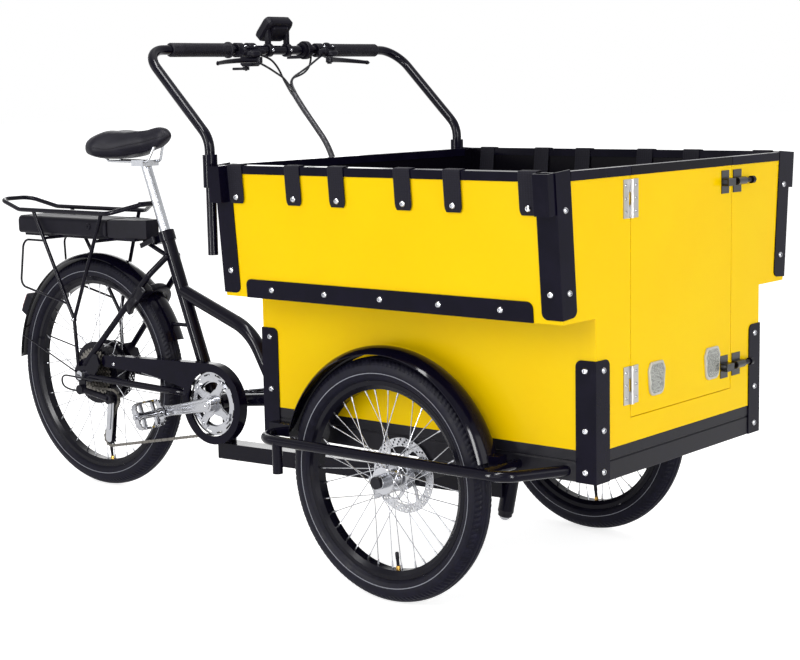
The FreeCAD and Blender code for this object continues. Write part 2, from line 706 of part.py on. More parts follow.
def corner_sockets():
    """Square sockets for canopy poles on the four corners, and the two handlebar sleeves."""
    pieces = []
    wall = SOCKET_WALL
    for x0, x1 in ((BOX_NOSE - SOCKET_L, BOX_NOSE), (BOX_TAIL, BOX_TAIL + SOCKET_L)):
        foot = SLOPE - SOCKET_H
        body = block(x0, x1, TRIM_T, TRIM_T + SOCKET_D, foot, SLOPE + CAP_T)
        bore = block(x0 + wall, x1 - wall, TRIM_T + wall, TRIM_T + SOCKET_D - wall, foot + wall, SLOPE + CAP_T)
        pieces.append(flared(body.cut(bore)))
    foot = V(SLEEVE_X, SLEEVE_Y, SLEEVE_Z)
    top = foot + V(0, 0, SLEEVE_H)
    sleeve = rod(foot, top, SLEEVE_R)
    half = SLEEVE_R * 0.7
    rib = SLEEVE_H * 0.12
    bracket = block(SLEEVE_X, BOX_TAIL - TRIM_T, SLEEVE_Y - half, SLEEVE_Y + half,
                    SLEEVE_Z + rib, RIM_Z - rib)
    sleeve = fused([sleeve, bracket]).cut(rod(foot, top, BAR_R + FREE_FIT))
    return both(pieces + [sleeve])


def head_point(along):
    """Point on the steering axis."""
    return HEAD + HEAD_DIR * along


def front_axle():
    """Cross beam with stub axles, crown and king pin, and the two axle cap nuts."""
    half = AXLE_BEAM / 2
    hub_in = HALF_TRACK - ROTOR_OFFSET - ROTOR_T
    plate_y = hub_in - 26
    z0 = FRONT_R - half
    z1 = FRONT_R + half
    beam = block(-half, half, -plate_y, plate_y, z0, z1)
    wall = AXLE_WALL
    beam = beam.cut(block(wall - half, half - wall, wall - plate_y, plate_y - wall, z0 + wall, z1 - wall))
    beam = beam.cut(rod(V(0, plate_y / 2, z0), V(0, plate_y / 2, z0 + wall), wall))
    shapes = [beam]
    nuts = []
    for side in (1, -1):
        inner = V(0, side * plate_y, FRONT_R)
        shoulder = V(0, side * (hub_in - SOFT_GAP), FRONT_R)
        tip = V(0, side * (HALF_TRACK + HUB_OUTER_END + SOFT_GAP), FRONT_R)
        cap = V(0, side * (HALF_TRACK + HUB_OUTER_END + 8), FRONT_R)
        shapes += [rod(inner, shoulder, HUB_BARREL_R), rod(inner, tip, HUB_AXLE_R)]
        nuts.append(rod(tip, cap, HUB_AXLE_R + 3))
        y0, y1 = sorted((side * (plate_y - 98), side * (plate_y - 48)))
        shapes.append(block(-half, half, y0, y1, z1, BASE_Z + BASE_WALL))
    crown = block(half, 100, -CROWN_HALF, CROWN_HALF, z1 - half, BASE_Z + BASE_WALL)
    race = HEAD_HIGH + CUP_FLANGE + SOFT_GAP
    nut = HEAD_LOW - CUP_FLANGE - SOFT_GAP
    shapes += [crown, rod(head_point(nut - 9), head_point(120), KINGPIN_R)]
    shapes += [rod(head_point(race), head_point(100), HEAD_R), rod(head_point(nut - 9), head_point(nut), HEAD_R - 2)]
    return [fused(shapes).common(block(-half, 110, -HALF_TRACK * 2, HALF_TRACK * 2, 0, BASE_Z + BASE_WALL))] + nuts


def headset_cups():
    """Flanged bearing cups in both ends of the head tube."""
    fit = KINGPIN_R + FREE_FIT
    cups = []
    for end, out in ((HEAD_LOW, -1), (HEAD_HIGH, 1)):
        outer = head_point(end + out * CUP_FLANGE)
        inner = head_point(end - out * CUP_DEPTH)
        flange = rod(head_point(end), outer, HEAD_R)
        sleeve = rod(inner, head_point(end), HEAD_BORE)
        cups.append(fused([flange, sleeve]).cut(rod(inner, outer, fit)))
    return cups


def guard_rails():
    """Bent tube round each front wheel with a rung at its front and a short post under its rear."""
    front = V(RAIL_FRONT_FOOT, LOW_HALF, RAIL_Z)
    rear = V(RAIL_REAR_FOOT, LOW_HALF, RAIL_Z)
    route = [front + V(0, -RAIL_R, 0), V(RAIL_FRONT, RAIL_Y, RAIL_Z), V(RAIL_REAR, RAIL_Y, RAIL_Z)]
    route.append(rear + V(0, -RAIL_R, 0))
    loop = pipe(route, [RAIL_BEND, RAIL_BEND], RAIL_R)
    rung = rod(V(RUNG_X, LOW_HALF, RAIL_Z), V(RUNG_X, RAIL_Y, RAIL_Z), RAIL_R * 0.9)
    post = rod(V(POST_X, RAIL_Y, RAIL_Z - POST_DROP), V(POST_X, RAIL_Y, RAIL_Z), RAIL_R)
    whole = fused([loop, rung, post])
    whole = whole.cut(block(BOX_TAIL, BOX_NOSE, 0, LOW_HALF, BASE_Z - RAIL_R, BASE_TOP))
    return both([whole])


def front_fenders(rails):
    """Crowned fenders over the front wheels with a tab to the rail at each end."""
    radius = FRONT_R + FENDER_GAP
    shell = wheel_guard(FRONT_HUB, HALF_TRACK, radius, FENDER_W, FENDER_DROP, FENDER_WALL, FENDER_FRONT, FENDER_REAR)
    inner = radius - FENDER_WALL
    y0 = HALF_TRACK - 14
    y1 = HALF_TRACK + 14
    core = disc(FRONT_HUB, inner, y0, y1)
    front = block(inner - 30, RUNG_X, y0, y1, RAIL_Z - 3, RAIL_Z + 24).cut(core)
    rear = block(RAIL_REAR - 25, 30 - inner, y0, y1, RAIL_Z - 3, RAIL_Z + 24).cut(core)
    whole = fused([shell, front, rear])
    for rail in rails:
        whole = whole.cut(rail)
    largest = max(whole.Solids, key=lambda solid: solid.Volume)
    return both([largest])


def caliper(hub, mid_y, angle, inside, outside):
    """Brake caliper astride a rotor: a block with a slot, its bolts towards the carrier."""
    reach = ROTOR_R - 12
    turn = math.radians(angle)
    middle = V(hub.x + reach * math.cos(turn), mid_y, hub.z + reach * math.sin(turn))
    body = block(-19, 19, -inside, outside, -24, 24)
    body.rotate(V(0, 0, 0), V(0, -1, 0), angle)
    body.translate(middle)
    slot = disc(hub, ROTOR_R + 2, mid_y - ROTOR_T, mid_y + ROTOR_T)
    return body.cut(slot)


def front_brake_calipers():
    """Calipers low behind the axle beam, each on an arm from the beam's end."""
    mid = HALF_TRACK - ROTOR_OFFSET - ROTOR_T / 2
    inside = 22.0
    body = caliper(FRONT_HUB, mid, 205, inside, 12)
    plate_y = HALF_TRACK - ROTOR_OFFSET - ROTOR_T - 26
    arm = block(-ROTOR_R, -AXLE_BEAM / 2, mid - inside - 6, mid - inside, FRONT_R - 20, FRONT_R + 12)
    lug = block(-AXLE_BEAM / 2 - 16, -AXLE_BEAM / 2, plate_y - 30, mid - inside, FRONT_R - 20, FRONT_R + 12)
    return both([fused([body, arm, lug])])


def seat_point(along):
    """Point on the seat tube's axis."""
    return SEAT_FOOT + SEAT_DIR * along


SEAT_TOP = (SEAT_TUBE_TOP - SEAT_FOOT_Z) / math.cos(LEAN)


def on_seat_tube(shape, along):
    """Stands a piece on the seat tube: its z axis lies along the tube."""
    placed = shape.copy()
    placed.rotate(V(0, 0, 0), V(0, 1, 0), -SEAT_ANGLE)
    placed.translate(seat_point(along))
    return placed


CLAMP_R = SEAT_TUBE_R + 4.5
CLAMP_H = 26.0
LEVER_PIN_BACK = -CLAMP_R - 9.0
LEVER_PIN_Y = -19.0
LEVER_PIN_R = 2.5


def seat_clamp():
    """Split collar on the seat tube's top with a lug behind and a pin for its lever."""
    ring = Part.makeCylinder(CLAMP_R, CLAMP_H)
    lug = block(-CLAMP_R - 16, 0, -12, 12, 3, CLAMP_H - 3)
    tab = block(LEVER_PIN_BACK - 5, LEVER_PIN_BACK + 5, LEVER_PIN_Y - 5, 0, 3, 7)
    pin = Part.makeCylinder(LEVER_PIN_R, CLAMP_H - 6, V(LEVER_PIN_BACK, LEVER_PIN_Y, 3))
    collar = fused([ring, lug, tab, pin]).cut(Part.makeCylinder(SEAT_TUBE_R, CLAMP_H))
    slit = block(-CLAMP_R - 16, -SEAT_TUBE_R / 2, -1, 1, 0, CLAMP_H)
    return on_seat_tube(collar.cut(slit), SEAT_TOP - CLAMP_H)


def seat_clamp_lever():
    """Cam lever on the clamp's pin, lying back along the frame."""
    low = 7.0 + SOFT_GAP
    high = CLAMP_H - 3
    boss = Part.makeCylinder(6.0, high - low, V(LEVER_PIN_BACK, LEVER_PIN_Y, low))
    blade = block(LEVER_PIN_BACK - 52, LEVER_PIN_BACK, LEVER_PIN_Y - 5, LEVER_PIN_Y - 1, low + 2, high - 1)
    bore = Part.makeCylinder(LEVER_PIN_R + FREE_FIT, CLAMP_H, V(LEVER_PIN_BACK, LEVER_PIN_Y, 0))
    return [on_seat_tube(fused([boss, blade]).cut(bore), SEAT_TOP - CLAMP_H)]


def seat_tube():
    """Seat tube, bottom bracket shell and the lug between them."""
    shell = disc(BB, BB_SHELL_R, -BB_SHELL_HALF, BB_SHELL_HALF)
    whole = fused([rod(SEAT_FOOT, seat_point(SEAT_TOP), SEAT_TUBE_R), shell, rod(SEAT_FOOT, BB, SEAT_TUBE_R)])
    whole = whole.cut(disc(BB, SPINDLE_R + FREE_FIT, -BB_SHELL_HALF, BB_SHELL_HALF))
    deep = SEAT_TOP - POST_SUNK - 160
    return whole.cut(rod(seat_point(deep), seat_point(SEAT_TOP), POST_R + FREE_FIT))


def main_frame():
    """Welded frame: seat tube, main beam with head tube, lower tube, upper tube and clamp collar."""
    column = seat_tube()
    half = BEAM_H / 2
    rear_x = BEAM_REAR_X
    wide = BEAM_W / 2
    outline = [V(rear_x, -wide, BEAM_REAR_Z - half), V(HEAD_X, -wide, BEAM_FRONT_Z - half)]
    outline += [V(HEAD_X, -wide, BEAM_FRONT_Z + half), V(rear_x, -wide, BEAM_REAR_Z + half)]
    beam = Part.Face(Part.makePolygon(outline + outline[:1])).extrude(V(0, BEAM_W, 0))
    head = rod(head_point(HEAD_LOW), head_point(HEAD_HIGH), HEAD_R)
    post = rod(V(BB_X, 0, BEAM_REAR_Z), BB, SEAT_TUBE_R)
    spine = fused([beam, head, post]).cut(rod(head_point(HEAD_LOW), head_point(HEAD_HIGH), HEAD_BORE))
    shell = disc(BB, BB_SHELL_R, -BB_SHELL_HALF, BB_SHELL_HALF)
    spine = spine.cut(fused([shell, rod(SEAT_FOOT, BB, SEAT_TUBE_R)]))
    top = seat_point((UPPER_TUBE_Z - SEAT_FOOT_Z) / math.cos(LEAN))
    route = [top, V(UPPER_BEND_X, 0, UPPER_BEND_Z), V(UPPER_FOOT_X, 0, BEAM_FRONT_Z)]
    upper = pipe(route, [UPPER_BEND_R], UPPER_TUBE_R)
    upper = upper.cut(rod(SEAT_FOOT, seat_point(SEAT_TOP), SEAT_TUBE_R)).cut(spine)
    upper = max(upper.Solids, key=lambda solid: solid.Volume)
    run = (UPPER_BEND_Z - BB_Z - 22) / (UPPER_BEND_Z - BEAM_FRONT_Z)
    meet = V(UPPER_BEND_X + (UPPER_FOOT_X - UPPER_BEND_X) * run, 0, BB_Z + 22)
    lower = rod(BB, meet, LOWER_TUBE_R).cut(shell).cut(upper).cut(spine)
    lower = max(lower.Solids, key=lambda solid: solid.Volume)
    return [column, spine, upper, lower, seat_clamp()]


def rear_stays(frame):
    """Chain stays with dropouts, and seat stays, both sides."""
    mid = DROPOUT_IN + DROPOUT_T / 2
    x = REAR_HUB.x
    z = REAR_HUB.z
    corners = [(-28, -16), (-28, 16), (0, 42), (62, 64), (72, 36), (40, -16)]
    points = [V(x + dx, DROPOUT_IN, z + dz) for dx, dz in corners]
    plate = rounded_face(points, [8] * len(points)).extrude(V(0, DROPOUT_T, 0))
    plate = plate.cut(disc(REAR_HUB, REAR_AXLE_R + FREE_FIT, DROPOUT_IN, DROPOUT_OUT))
    start = V(SEAT_FOOT_X + 5, SEAT_TUBE_R, SEAT_FOOT_Z - 4)
    bend = V(SEAT_FOOT_X - 80, 56, SEAT_FOOT_Z + 6)
    end = V(x + 34, mid, z - 3)
    chain_stay = pipe([start, bend, end], [80], STAY_R)
    top = seat_point((640 - SEAT_FOOT_Z) / math.cos(LEAN)) + V(0, SEAT_TUBE_R - 1, 0)
    knee = V(top.x - 36, 50, top.z - 48)
    foot = V(x + 12, mid, z + 30)
    seat_stay = pipe([top, knee, foot], [40], SEAT_STAY_R)
    for piece in frame:
        chain_stay = chain_stay.cut(piece)
        seat_stay = seat_stay.cut(piece)
    core = rod(SEAT_FOOT, seat_point(SEAT_TOP), SEAT_TUBE_R)
    chain_stay = fused([chain_stay, plate])
    seat_stay = seat_stay.cut(core).cut(chain_stay)
    pieces = [max(piece.Solids, key=lambda solid: solid.Volume) for piece in (chain_stay, seat_stay)]
    return both(pieces)


def belt(circles, grow, y):
    """Closed chain line round wheels (x, z, radius, turn), moved outwards by grow."""
    headings = []
    count = len(circles)
    for index, (x, z, radius, turn) in enumerate(circles):
        x2, z2, radius2, turn2 = circles[(index + 1) % count]
        length = math.hypot(x2 - x, z2 - z)
        aim = math.atan2(z2 - z, x2 - x)
        headings.append(aim - math.asin((turn2 * radius2 - turn * radius) / length))

    def touch(circle, heading):
        x, z, radius, turn = circle
        reach = turn * (radius - turn * grow)
        return V(x + reach * math.sin(heading), y, z - reach * math.cos(heading))

    edges = []
    for index, circle in enumerate(circles):
        come = headings[index - 1]
        leave = headings[index]
        turn = circle[3]
        bend = (leave - come) * turn % (2 * math.pi) * turn
        points = [touch(circle, come), touch(circle, come + bend / 2), touch(circle, leave)]
        edges.append(Part.Arc(*points).toShape())
        ahead = touch(circles[(index + 1) % count], leave)
        edges.append(Part.LineSegment(points[2], ahead).toShape())
    return Part.Wire(edges), edges


def chain_circles():
    """Wheels that the chain runs round, with the way it turns on each."""
    ring = (BB_X, BB_Z, RING_R, -1)
    low = (JOCKEY_LOW.x, JOCKEY_LOW.z, JOCKEY_R, -1)
    up = (JOCKEY_UP.x, JOCKEY_UP.z, JOCKEY_R, 1)
    cog = (REAR_HUB.x, REAR_HUB.z, COG_R, -1)
    return [ring, low, up, cog]


def chain_band(half_h, y0, y1):
    """Closed band along the chain line."""
    across = V(0, y1 - y0, 0)
    outer = Part.Face(belt(chain_circles(), half_h, y0)[0]).extrude(across)
    return outer.cut(Part.Face(belt(chain_circles(), -half_h, y0)[0]).extrude(across))


def chain():
    """Two rows of link plates joined by pins along the free runs."""
    bands = [chain_band(CHAIN_HALF_H, CHAINLINE - CHAIN_OUT, CHAINLINE - CHAIN_IN)]
    bands.append(chain_band(CHAIN_HALF_H, CHAINLINE + CHAIN_IN, CHAINLINE + CHAIN_OUT))
    pins = []
    edges = belt(chain_circles(), 0, CHAINLINE)[1]
    for line in (edges[1], edges[7]):
        start = line.Vertexes[0].Point
        run = line.Vertexes[1].Point - start
        for index in range(3, int(run.Length / CHAIN_PITCH) - 2):
            place = start + run * (index * CHAIN_PITCH / run.Length)
            pins.append(disc(place, CHAIN_PIN_R, CHAINLINE - CHAIN_IN, CHAINLINE + CHAIN_IN))
    return [fused(bands + pins)]


def chain_case(stays):
    """Cover round the chainring and over the upper chain run, open inside and under the chain."""
    tail = BB_X - CASE_TAIL
    crown = BB_Z + CASE_R
    outline = [V(BB_X, 0, crown), V(tail, 0, crown - 14), V(tail, 0, crown - 44), V(BB_X - 230, 0, crown - 48)]
    outline += [V(BB_X - 90, 0, BB_Z + 30), V(BB_X, 0, BB_Z)]

    def cover(shrink, y0, y1):
        points = [V(point.x, y0, point.z) for point in outline]
        arm = rounded_face(points, [0, 10, 10, 120, 60, 0])
        arm = arm if not shrink else arm.makeOffset2D(-shrink)
        ring = disc(BB, CASE_R - shrink, y0, y1)
        return fused([arm.extrude(V(0, y1 - y0, 0)), ring])

    inner_y = CASE_FACE + CASE_DEPTH
    body = cover(0, CASE_FACE, inner_y)
    body = body.cut(cover(CASE_WALL, CASE_FACE + CASE_WALL, inner_y))
    body = body.cut(disc(BB, CASE_HOLE, CASE_FACE, CASE_FACE + CASE_WALL))
    body = body.cut(chain_band(9, CASE_FACE + CASE_WALL, inner_y))
    for stay in stays:
        body = body.cut(stay)
    return [max(body.Solids, key=lambda solid: solid.Volume)]


def toothed(centre, teeth, y0, y1, tip, root):
    """Chain wheel blank with trapezoid teeth."""
    pitch_r = chain_radius(teeth)
    points = []
    for index in range(teeth):
        for share, radius in ((0.0, -root), (0.3, -root), (0.48, tip), (0.82, tip)):
            angle = 2 * math.pi * (index + share) / teeth
            reach = pitch_r + radius
            points.append(V(centre.x + reach * math.cos(angle), y0, centre.z + reach * math.sin(angle)))
    return Part.Face(Part.makePolygon(points + points[:1])).extrude(V(0, y1 - y0, 0))


def chainring():
    """Toothed ring bolted to the right crank's spider."""
    blank = toothed(BB, RING_TEETH, CHAINLINE - 1, CHAINLINE + 1, 2.5, 3.5)
    return [blank.cut(disc(BB, RING_R - 24, CHAINLINE - 1, CHAINLINE + 1))]


def crank_tip(angle):
    """Pedal axle's place for a crank angle."""
    turn = math.radians(angle)
    return V(BB_X + CRANK * math.cos(turn), 0, BB_Z + CRANK * math.sin(turn))


def crank_arm(angle, out):
    """Tapered arm with its spindle boss and pedal axle; out is the side it stands on."""
    near = out * CRANK_IN
    far = out * (CRANK_IN + CRANK_T)
    y0, y1 = sorted((near, far))
    tip = crank_tip(angle)
    along = (tip - BB).normalize()
    across = V(-along.z, 0, along.x)
    corners = [BB + across * 14, tip + across * 10, tip - across * 10, BB - across * 14]
    corners = [V(point.x, y0, point.z) for point in corners]
    bar = Part.Face(Part.makePolygon(corners + corners[:1])).extrude(V(0, y1 - y0, 0))
    boss = disc(BB, 18, y0, y1)
    eye = disc(tip, 14, y0, y1)
    axle = rod(V(tip.x, far, tip.z), V(tip.x, far + out * (PEDAL_L + 8), tip.z), PEDAL_AXLE_R)
    return [bar, boss, eye, axle]


def crank_arms():
    """Right arm with spider and spindle as one piece, left arm pressed on the spindle."""
    right = crank_arm(CRANK_ANGLE, -1)
    spider_y = CHAINLINE - 1
    right.append(disc(BB, 22, -CRANK_IN, spider_y))
    for index in range(4):
        turn = math.radians(CRANK_ANGLE + 45 + 90 * index)
        arm = block(0, RING_R - 14, spider_y - 4, spider_y, -7, 7)
        arm.rotate(V(0, 0, 0), V(0, -1, 0), math.degrees(turn))
        arm.translate(BB)
        right.append(arm)
    right.append(disc(BB, SPINDLE_R, -CRANK_IN, CRANK_IN))
    left = crank_arm(CRANK_ANGLE + 180, 1)
    return [fused(right), fused(left)]


def pedal(angle, out):
    """Cage pedal: a barrel on its axle between two end plates and two toothed rails."""
    tip = crank_tip(angle)
    begin = CRANK_IN + CRANK_T + 3
    y0, y1 = sorted((out * begin, out * (begin + PEDAL_L)))
    half = PEDAL_W / 2
    tall = PEDAL_H / 2
    cage = block(tip.x - half, tip.x + half, y0, y1, tip.z - tall, tip.z + tall)
    for side in (1, -1):
        x0, x1 = sorted((tip.x + side * 11, tip.x + side * (half - 4)))
        cage = cage.cut(block(x0, x1, y0 + 6, y1 - 6, tip.z - tall, tip.z + tall))
    cage.rotate(tip, V(0, 1, 0), PEDAL_TILT)
    return [cage.cut(disc(tip, PEDAL_AXLE_R + FREE_FIT, y0, y1))]


def jockey(place):
    """Small guide wheel of the derailleur."""
    blank = toothed(place, JOCKEY_TEETH, CHAINLINE - 1, CHAINLINE + 1, 2.0, 3.5)
    hub = disc(place, 8, CHAINLINE - 3, CHAINLINE + 3)
    return [fused([blank, hub]).cut(disc(place, 3 + FREE_FIT, CHAINLINE - 4, CHAINLINE + 4))]


def derailleur():
    """Knuckle on the dropout, link arm, and cage plates either side of the jockey wheels."""
    outer = CHAINLINE - 7
    knuckle = rod(V(REAR_HUB.x + 4, -DROPOUT_OUT, REAR_HUB.z - 38), V(REAR_HUB.x + 4, -DROPOUT_OUT - 15, REAR_HUB.z - 38), 13)
    hanger = block(REAR_HUB.x - 9, REAR_HUB.x + 17, -DROPOUT_OUT - 4, -DROPOUT_OUT, REAR_HUB.z - 45, REAR_HUB.z - 13)
    arm = rod(V(REAR_HUB.x + 4, -DROPOUT_OUT - 6, REAR_HUB.z - 38), V(JOCKEY_UP.x - 2, outer - 9, JOCKEY_UP.z + 2), 8.5)
    boss = disc(JOCKEY_UP, 13, outer - 14, outer)
    along = (JOCKEY_LOW - JOCKEY_UP).normalize()
    across = V(-along.z, 0, along.x) * 11
    plates = []
    for y0 in (outer, CHAINLINE + 5):
        corners = [JOCKEY_UP + across, JOCKEY_LOW + across, JOCKEY_LOW - across, JOCKEY_UP - across]
        corners = [V(point.x, y0, point.z) for point in corners]
        face = Part.Face(Part.makePolygon(corners + corners[:1]))
        plates.append(fused([face.extrude(V(0, 2, 0)), disc(JOCKEY_UP, 11, y0, y0 + 2), disc(JOCKEY_LOW, 11, y0, y0 + 2)]))
    pins = [disc(place, 3, outer, CHAINLINE + 7) for place in (JOCKEY_UP, JOCKEY_LOW)]
    return [fused([knuckle, hanger, arm, boss] + plates + pins)]


def cassette():
    """Stack of chain wheels with gaps between them on one carrier."""
    pieces = []
    for index, teeth in enumerate(COG_TEETH):
        mid = CHAINLINE + (index - DRIVE_COG) * COG_STEP
        pieces.append(toothed(REAR_HUB, teeth, mid - COG_T / 2, mid + COG_T / 2, 2.0, 3.5))
    first = CHAINLINE - DRIVE_COG * COG_STEP
    last = CHAINLINE + (len(COG_TEETH) - 1 - DRIVE_COG) * COG_STEP
    pieces.append(disc(REAR_HUB, 15, first - COG_T / 2, last + COG_T))
    return [fused(pieces).cut(disc(REAR_HUB, REAR_AXLE_R + FREE_FIT, -DROPOUT_IN, 0))]


MOTOR_R = 76.0
MOTOR_RIGHT = -26.0
MOTOR_LEFT = 38.0
MOTOR_FLANGE_R = 84.0
MOTOR_FLANGE = 21.0
REAR_ROTOR_Y = 44.0


def rear_hub_motor():
    """Drum motor in the rear hub: two spoke flanges, end covers and the rotor's boss."""
    bore = REAR_AXLE_R + FREE_FIT
    f0 = MOTOR_FLANGE - 2
    f1 = MOTOR_FLANGE + 2
    shape = [(bore, MOTOR_RIGHT), (40, MOTOR_RIGHT), (MOTOR_R - 6, -f1), (MOTOR_FLANGE_R, -f1), (MOTOR_FLANGE_R, -f0)]
    shape += [(MOTOR_R, -f0), (MOTOR_R, f0), (MOTOR_FLANGE_R, f0), (MOTOR_FLANGE_R, f1), (MOTOR_R - 6, f1)]
    shape += [(40, MOTOR_LEFT), (24, MOTOR_LEFT), (24, REAR_ROTOR_Y), (17, REAR_ROTOR_Y)]
    shape += [(17, REAR_ROTOR_Y + ROTOR_T), (bore, REAR_ROTOR_Y + ROTOR_T)]
    return [turned(shape, REAR_HUB)]


def rear_axle():
    """Fixed axle with its collars between the dropouts and its nuts outside them."""
    shaft = disc(REAR_HUB, REAR_AXLE_R, -DROPOUT_OUT - 10, DROPOUT_OUT + 10)
    right = disc(REAR_HUB, 11, -DROPOUT_IN, CHAINLINE - DRIVE_COG * COG_STEP - COG_T / 2 - SOFT_GAP)
    left = disc(REAR_HUB, 11, REAR_ROTOR_Y + ROTOR_T + SOFT_GAP, DROPOUT_IN)
    nuts = [disc(REAR_HUB, 12, -DROPOUT_OUT - 9, -DROPOUT_OUT), disc(REAR_HUB, 12, DROPOUT_OUT, DROPOUT_OUT + 9)]
    return [fused([shaft, right, left] + nuts)]


def rear_brake_caliper(stays):
    """Caliper in the left rear triangle, bolted to the dropout's tab."""
    mid = REAR_ROTOR_Y + ROTOR_T / 2
    body = caliper(REAR_HUB, mid, 42, 9, DROPOUT_IN - mid)
    for stay in stays:
        body = body.cut(stay)
    return [body]


def rear_mudguard():
    """Crowned guard over the rear wheel, its bridge to the seat tube and two wire stays."""
    shell = wheel_guard(REAR_HUB, 0, GUARD_R, GUARD_W, GUARD_DROP, FENDER_WALL, GUARD_FRONT, GUARD_REAR)
    turn = math.radians(GUARD_REAR - 12)
    edge = GUARD_R - GUARD_DROP - 2
    end = V(REAR_HUB.x + edge * math.cos(turn), GUARD_W / 2 - 1, REAR_HUB.z + edge * math.sin(turn))
    foot = V(REAR_HUB.x - 24, DROPOUT_OUT + 2, REAR_HUB.z + 8)
    wires = both([rod(foot, end, 2)])
    rise = math.radians(GUARD_FRONT + 8)
    start = V(REAR_HUB.x + (GUARD_R - 1) * math.cos(rise), 0, REAR_HUB.z + (GUARD_R - 1) * math.sin(rise))
    along = (start.z - SEAT_FOOT_Z) / math.cos(LEAN)
    bridge = rod(start, seat_point(along), 5).cut(rod(SEAT_FOOT, seat_point(SEAT_TOP), SEAT_TUBE_R))
    return [fused([shell, bridge] + wires)]


def rear_rack():
    """Tube rack: top loop, two stays a side to the dropouts, side hoops, tray and cross bars."""
    x = REAR_HUB.x
    tube = RACK_TUBE_R
    tail = RACK_TAIL
    nose = BATTERY_NOSE - RACK_NOSE_INSET
    rise = 24
    side = [V(nose, 18, RACK_Z + rise), V(nose - RACK_NOSE_TAPER, RACK_HALF, RACK_Z), V(tail + 100, RACK_HALF, RACK_Z)]
    side.append(V(tail, RACK_HALF - 16, RACK_Z + rise))
    far = [V(point.x, -point.y, point.z) for point in side]
    top = pipe(side + far[::-1], [60, 50, 34, 34, 50, 60], tube)
    bar = rod(V(nose - 2, -24, RACK_Z + rise), V(nose - 2, 24, RACK_Z + rise), tube + 1)
    knot = V(x - 12, DROPOUT_OUT + RACK_STAY_R + 2 + FREE_FIT, REAR_HUB.z + 150)
    foot = V(x - 6, DROPOUT_OUT + RACK_STAY_R + FREE_FIT, REAR_HUB.z + 24)
    back = V(x - 183, RACK_HALF, RACK_Z)
    fore = V(BATTERY_NOSE - RACK_FORE_INSET, RACK_HALF, RACK_Z)
    stays = [rod(back, knot, RACK_STAY_R), rod(fore, knot, RACK_STAY_R), rod(foot, knot, RACK_STAY_R)]
    stays.append(Part.makeSphere(RACK_STAY_R + 2, knot))
    hoop_top = back + (knot - back) * ((RACK_Z - BATTERY_Z + 16) / (RACK_Z - knot.z))
    hoop_low = back + (knot - back) * 0.86
    corners = [hoop_top, V(x - 225, hoop_top.y, hoop_top.z), V(x - 232, knot.y, hoop_low.z + 40), hoop_low]
    stays.append(pipe(corners, [24, 24], HOOP_R))
    shapes = [top, bar] + both(stays)
    tray_z = BATTERY_Z - 7
    shapes.append(block(BATTERY_REAR + 6, BATTERY_NOSE - TRAY_INSET, -40, 40, tray_z, BATTERY_Z))
    for line in (back, fore):
        share = (RACK_Z - tray_z + RACK_STAY_R / 2) / (RACK_Z - knot.z)
        end = line + (knot - line) * share
        shapes.append(rod(end, V(end.x, -end.y, end.z), RACK_STAY_R - 1))
    along = SEAT_TOP - 3 * CLAMP_H
    brace = rod(V(BATTERY_NOSE - TRAY_INSET - 6, 0, tray_z - 1), seat_point(along), 6)
    shapes.append(brace.cut(rod(SEAT_FOOT, seat_point(SEAT_TOP), SEAT_TUBE_R)))
    return [fused(shapes)]


def battery_pack():
    """Flat battery case with rounded long edges and a blunt nose."""
    z0 = BATTERY_Z
    z1 = BATTERY_Z + BATTERY_H
    half = BATTERY_HALF
    corners = [V(BATTERY_REAR, -half, z0), V(BATTERY_REAR, half, z0), V(BATTERY_REAR, half, z1), V(BATTERY_REAR, -half, z1)]
    case = rounded_face(corners, [10, 10, 14, 14]).extrude(V(BATTERY_NOSE - BATTERY_REAR, 0, 0))
    cut = BATTERY_NOSE - 130
    for side in (1, -1):
        wedge = [V(cut, side * half, z0), V(BATTERY_NOSE, side * half, z0), V(BATTERY_NOSE, side * 22, z0)]
        case = case.cut(Part.Face(Part.makePolygon(wedge + wedge[:1])).extrude(V(0, 0, BATTERY_H)))
    return [case]


def tail_light():
    """Lamp on the back of the rear guard."""
    body = block(GUARD_R - 12, GUARD_R + 24, -22, 22, -29, 29)
    body = body.makeFillet(8, [edge for edge in body.Edges if edge.BoundBox.XMin > GUARD_R + 20])
    body.rotate(V(0, 0, 0), V(0, -1, 0), 150)
    body.translate(REAR_HUB)
    full = wheel_guard(REAR_HUB, 0, GUARD_R, GUARD_W, GUARD_DROP, 30, 120, 178)
    return [body.cut(full)]


def gear_cable(stays):
    """Cable that leaves the chain stay, loops behind the dropout and enters the derailleur."""
    x = REAR_HUB.x
    z = REAR_HUB.z
    out = -DROPOUT_OUT
    points = [V(x + 84, out - 1.5, z - 9), V(x + 46, out - 15, z - 6), V(x - 8, out - 20, z - 2)]
    points += [V(x - 62, out - 20, z - 1), V(x - 62, out - 14, z - 43), V(x - 9.5, out - 8, z - 42)]
    cable = cord(points, WIRE_R)
    for stay in stays:
        cable = cable.cut(stay)
    return [cable]


SADDLE_REAR = BB_X - 450.0
SADDLE_STATIONS = (
    (0.0, 52.0, 908.0, 930.0),
    (0.07, 86.0, 890.0, 952.0),
    (0.25, 100.0, 886.0, 958.0),
    (0.48, 70.0, 894.0, 954.0),
    (0.7, 36.0, 910.0, 958.0),
    (0.92, 25.0, 926.0, 970.0),
    (1.0, 15.0, 938.0, 962.0),
)
SADDLE_L = 272.0


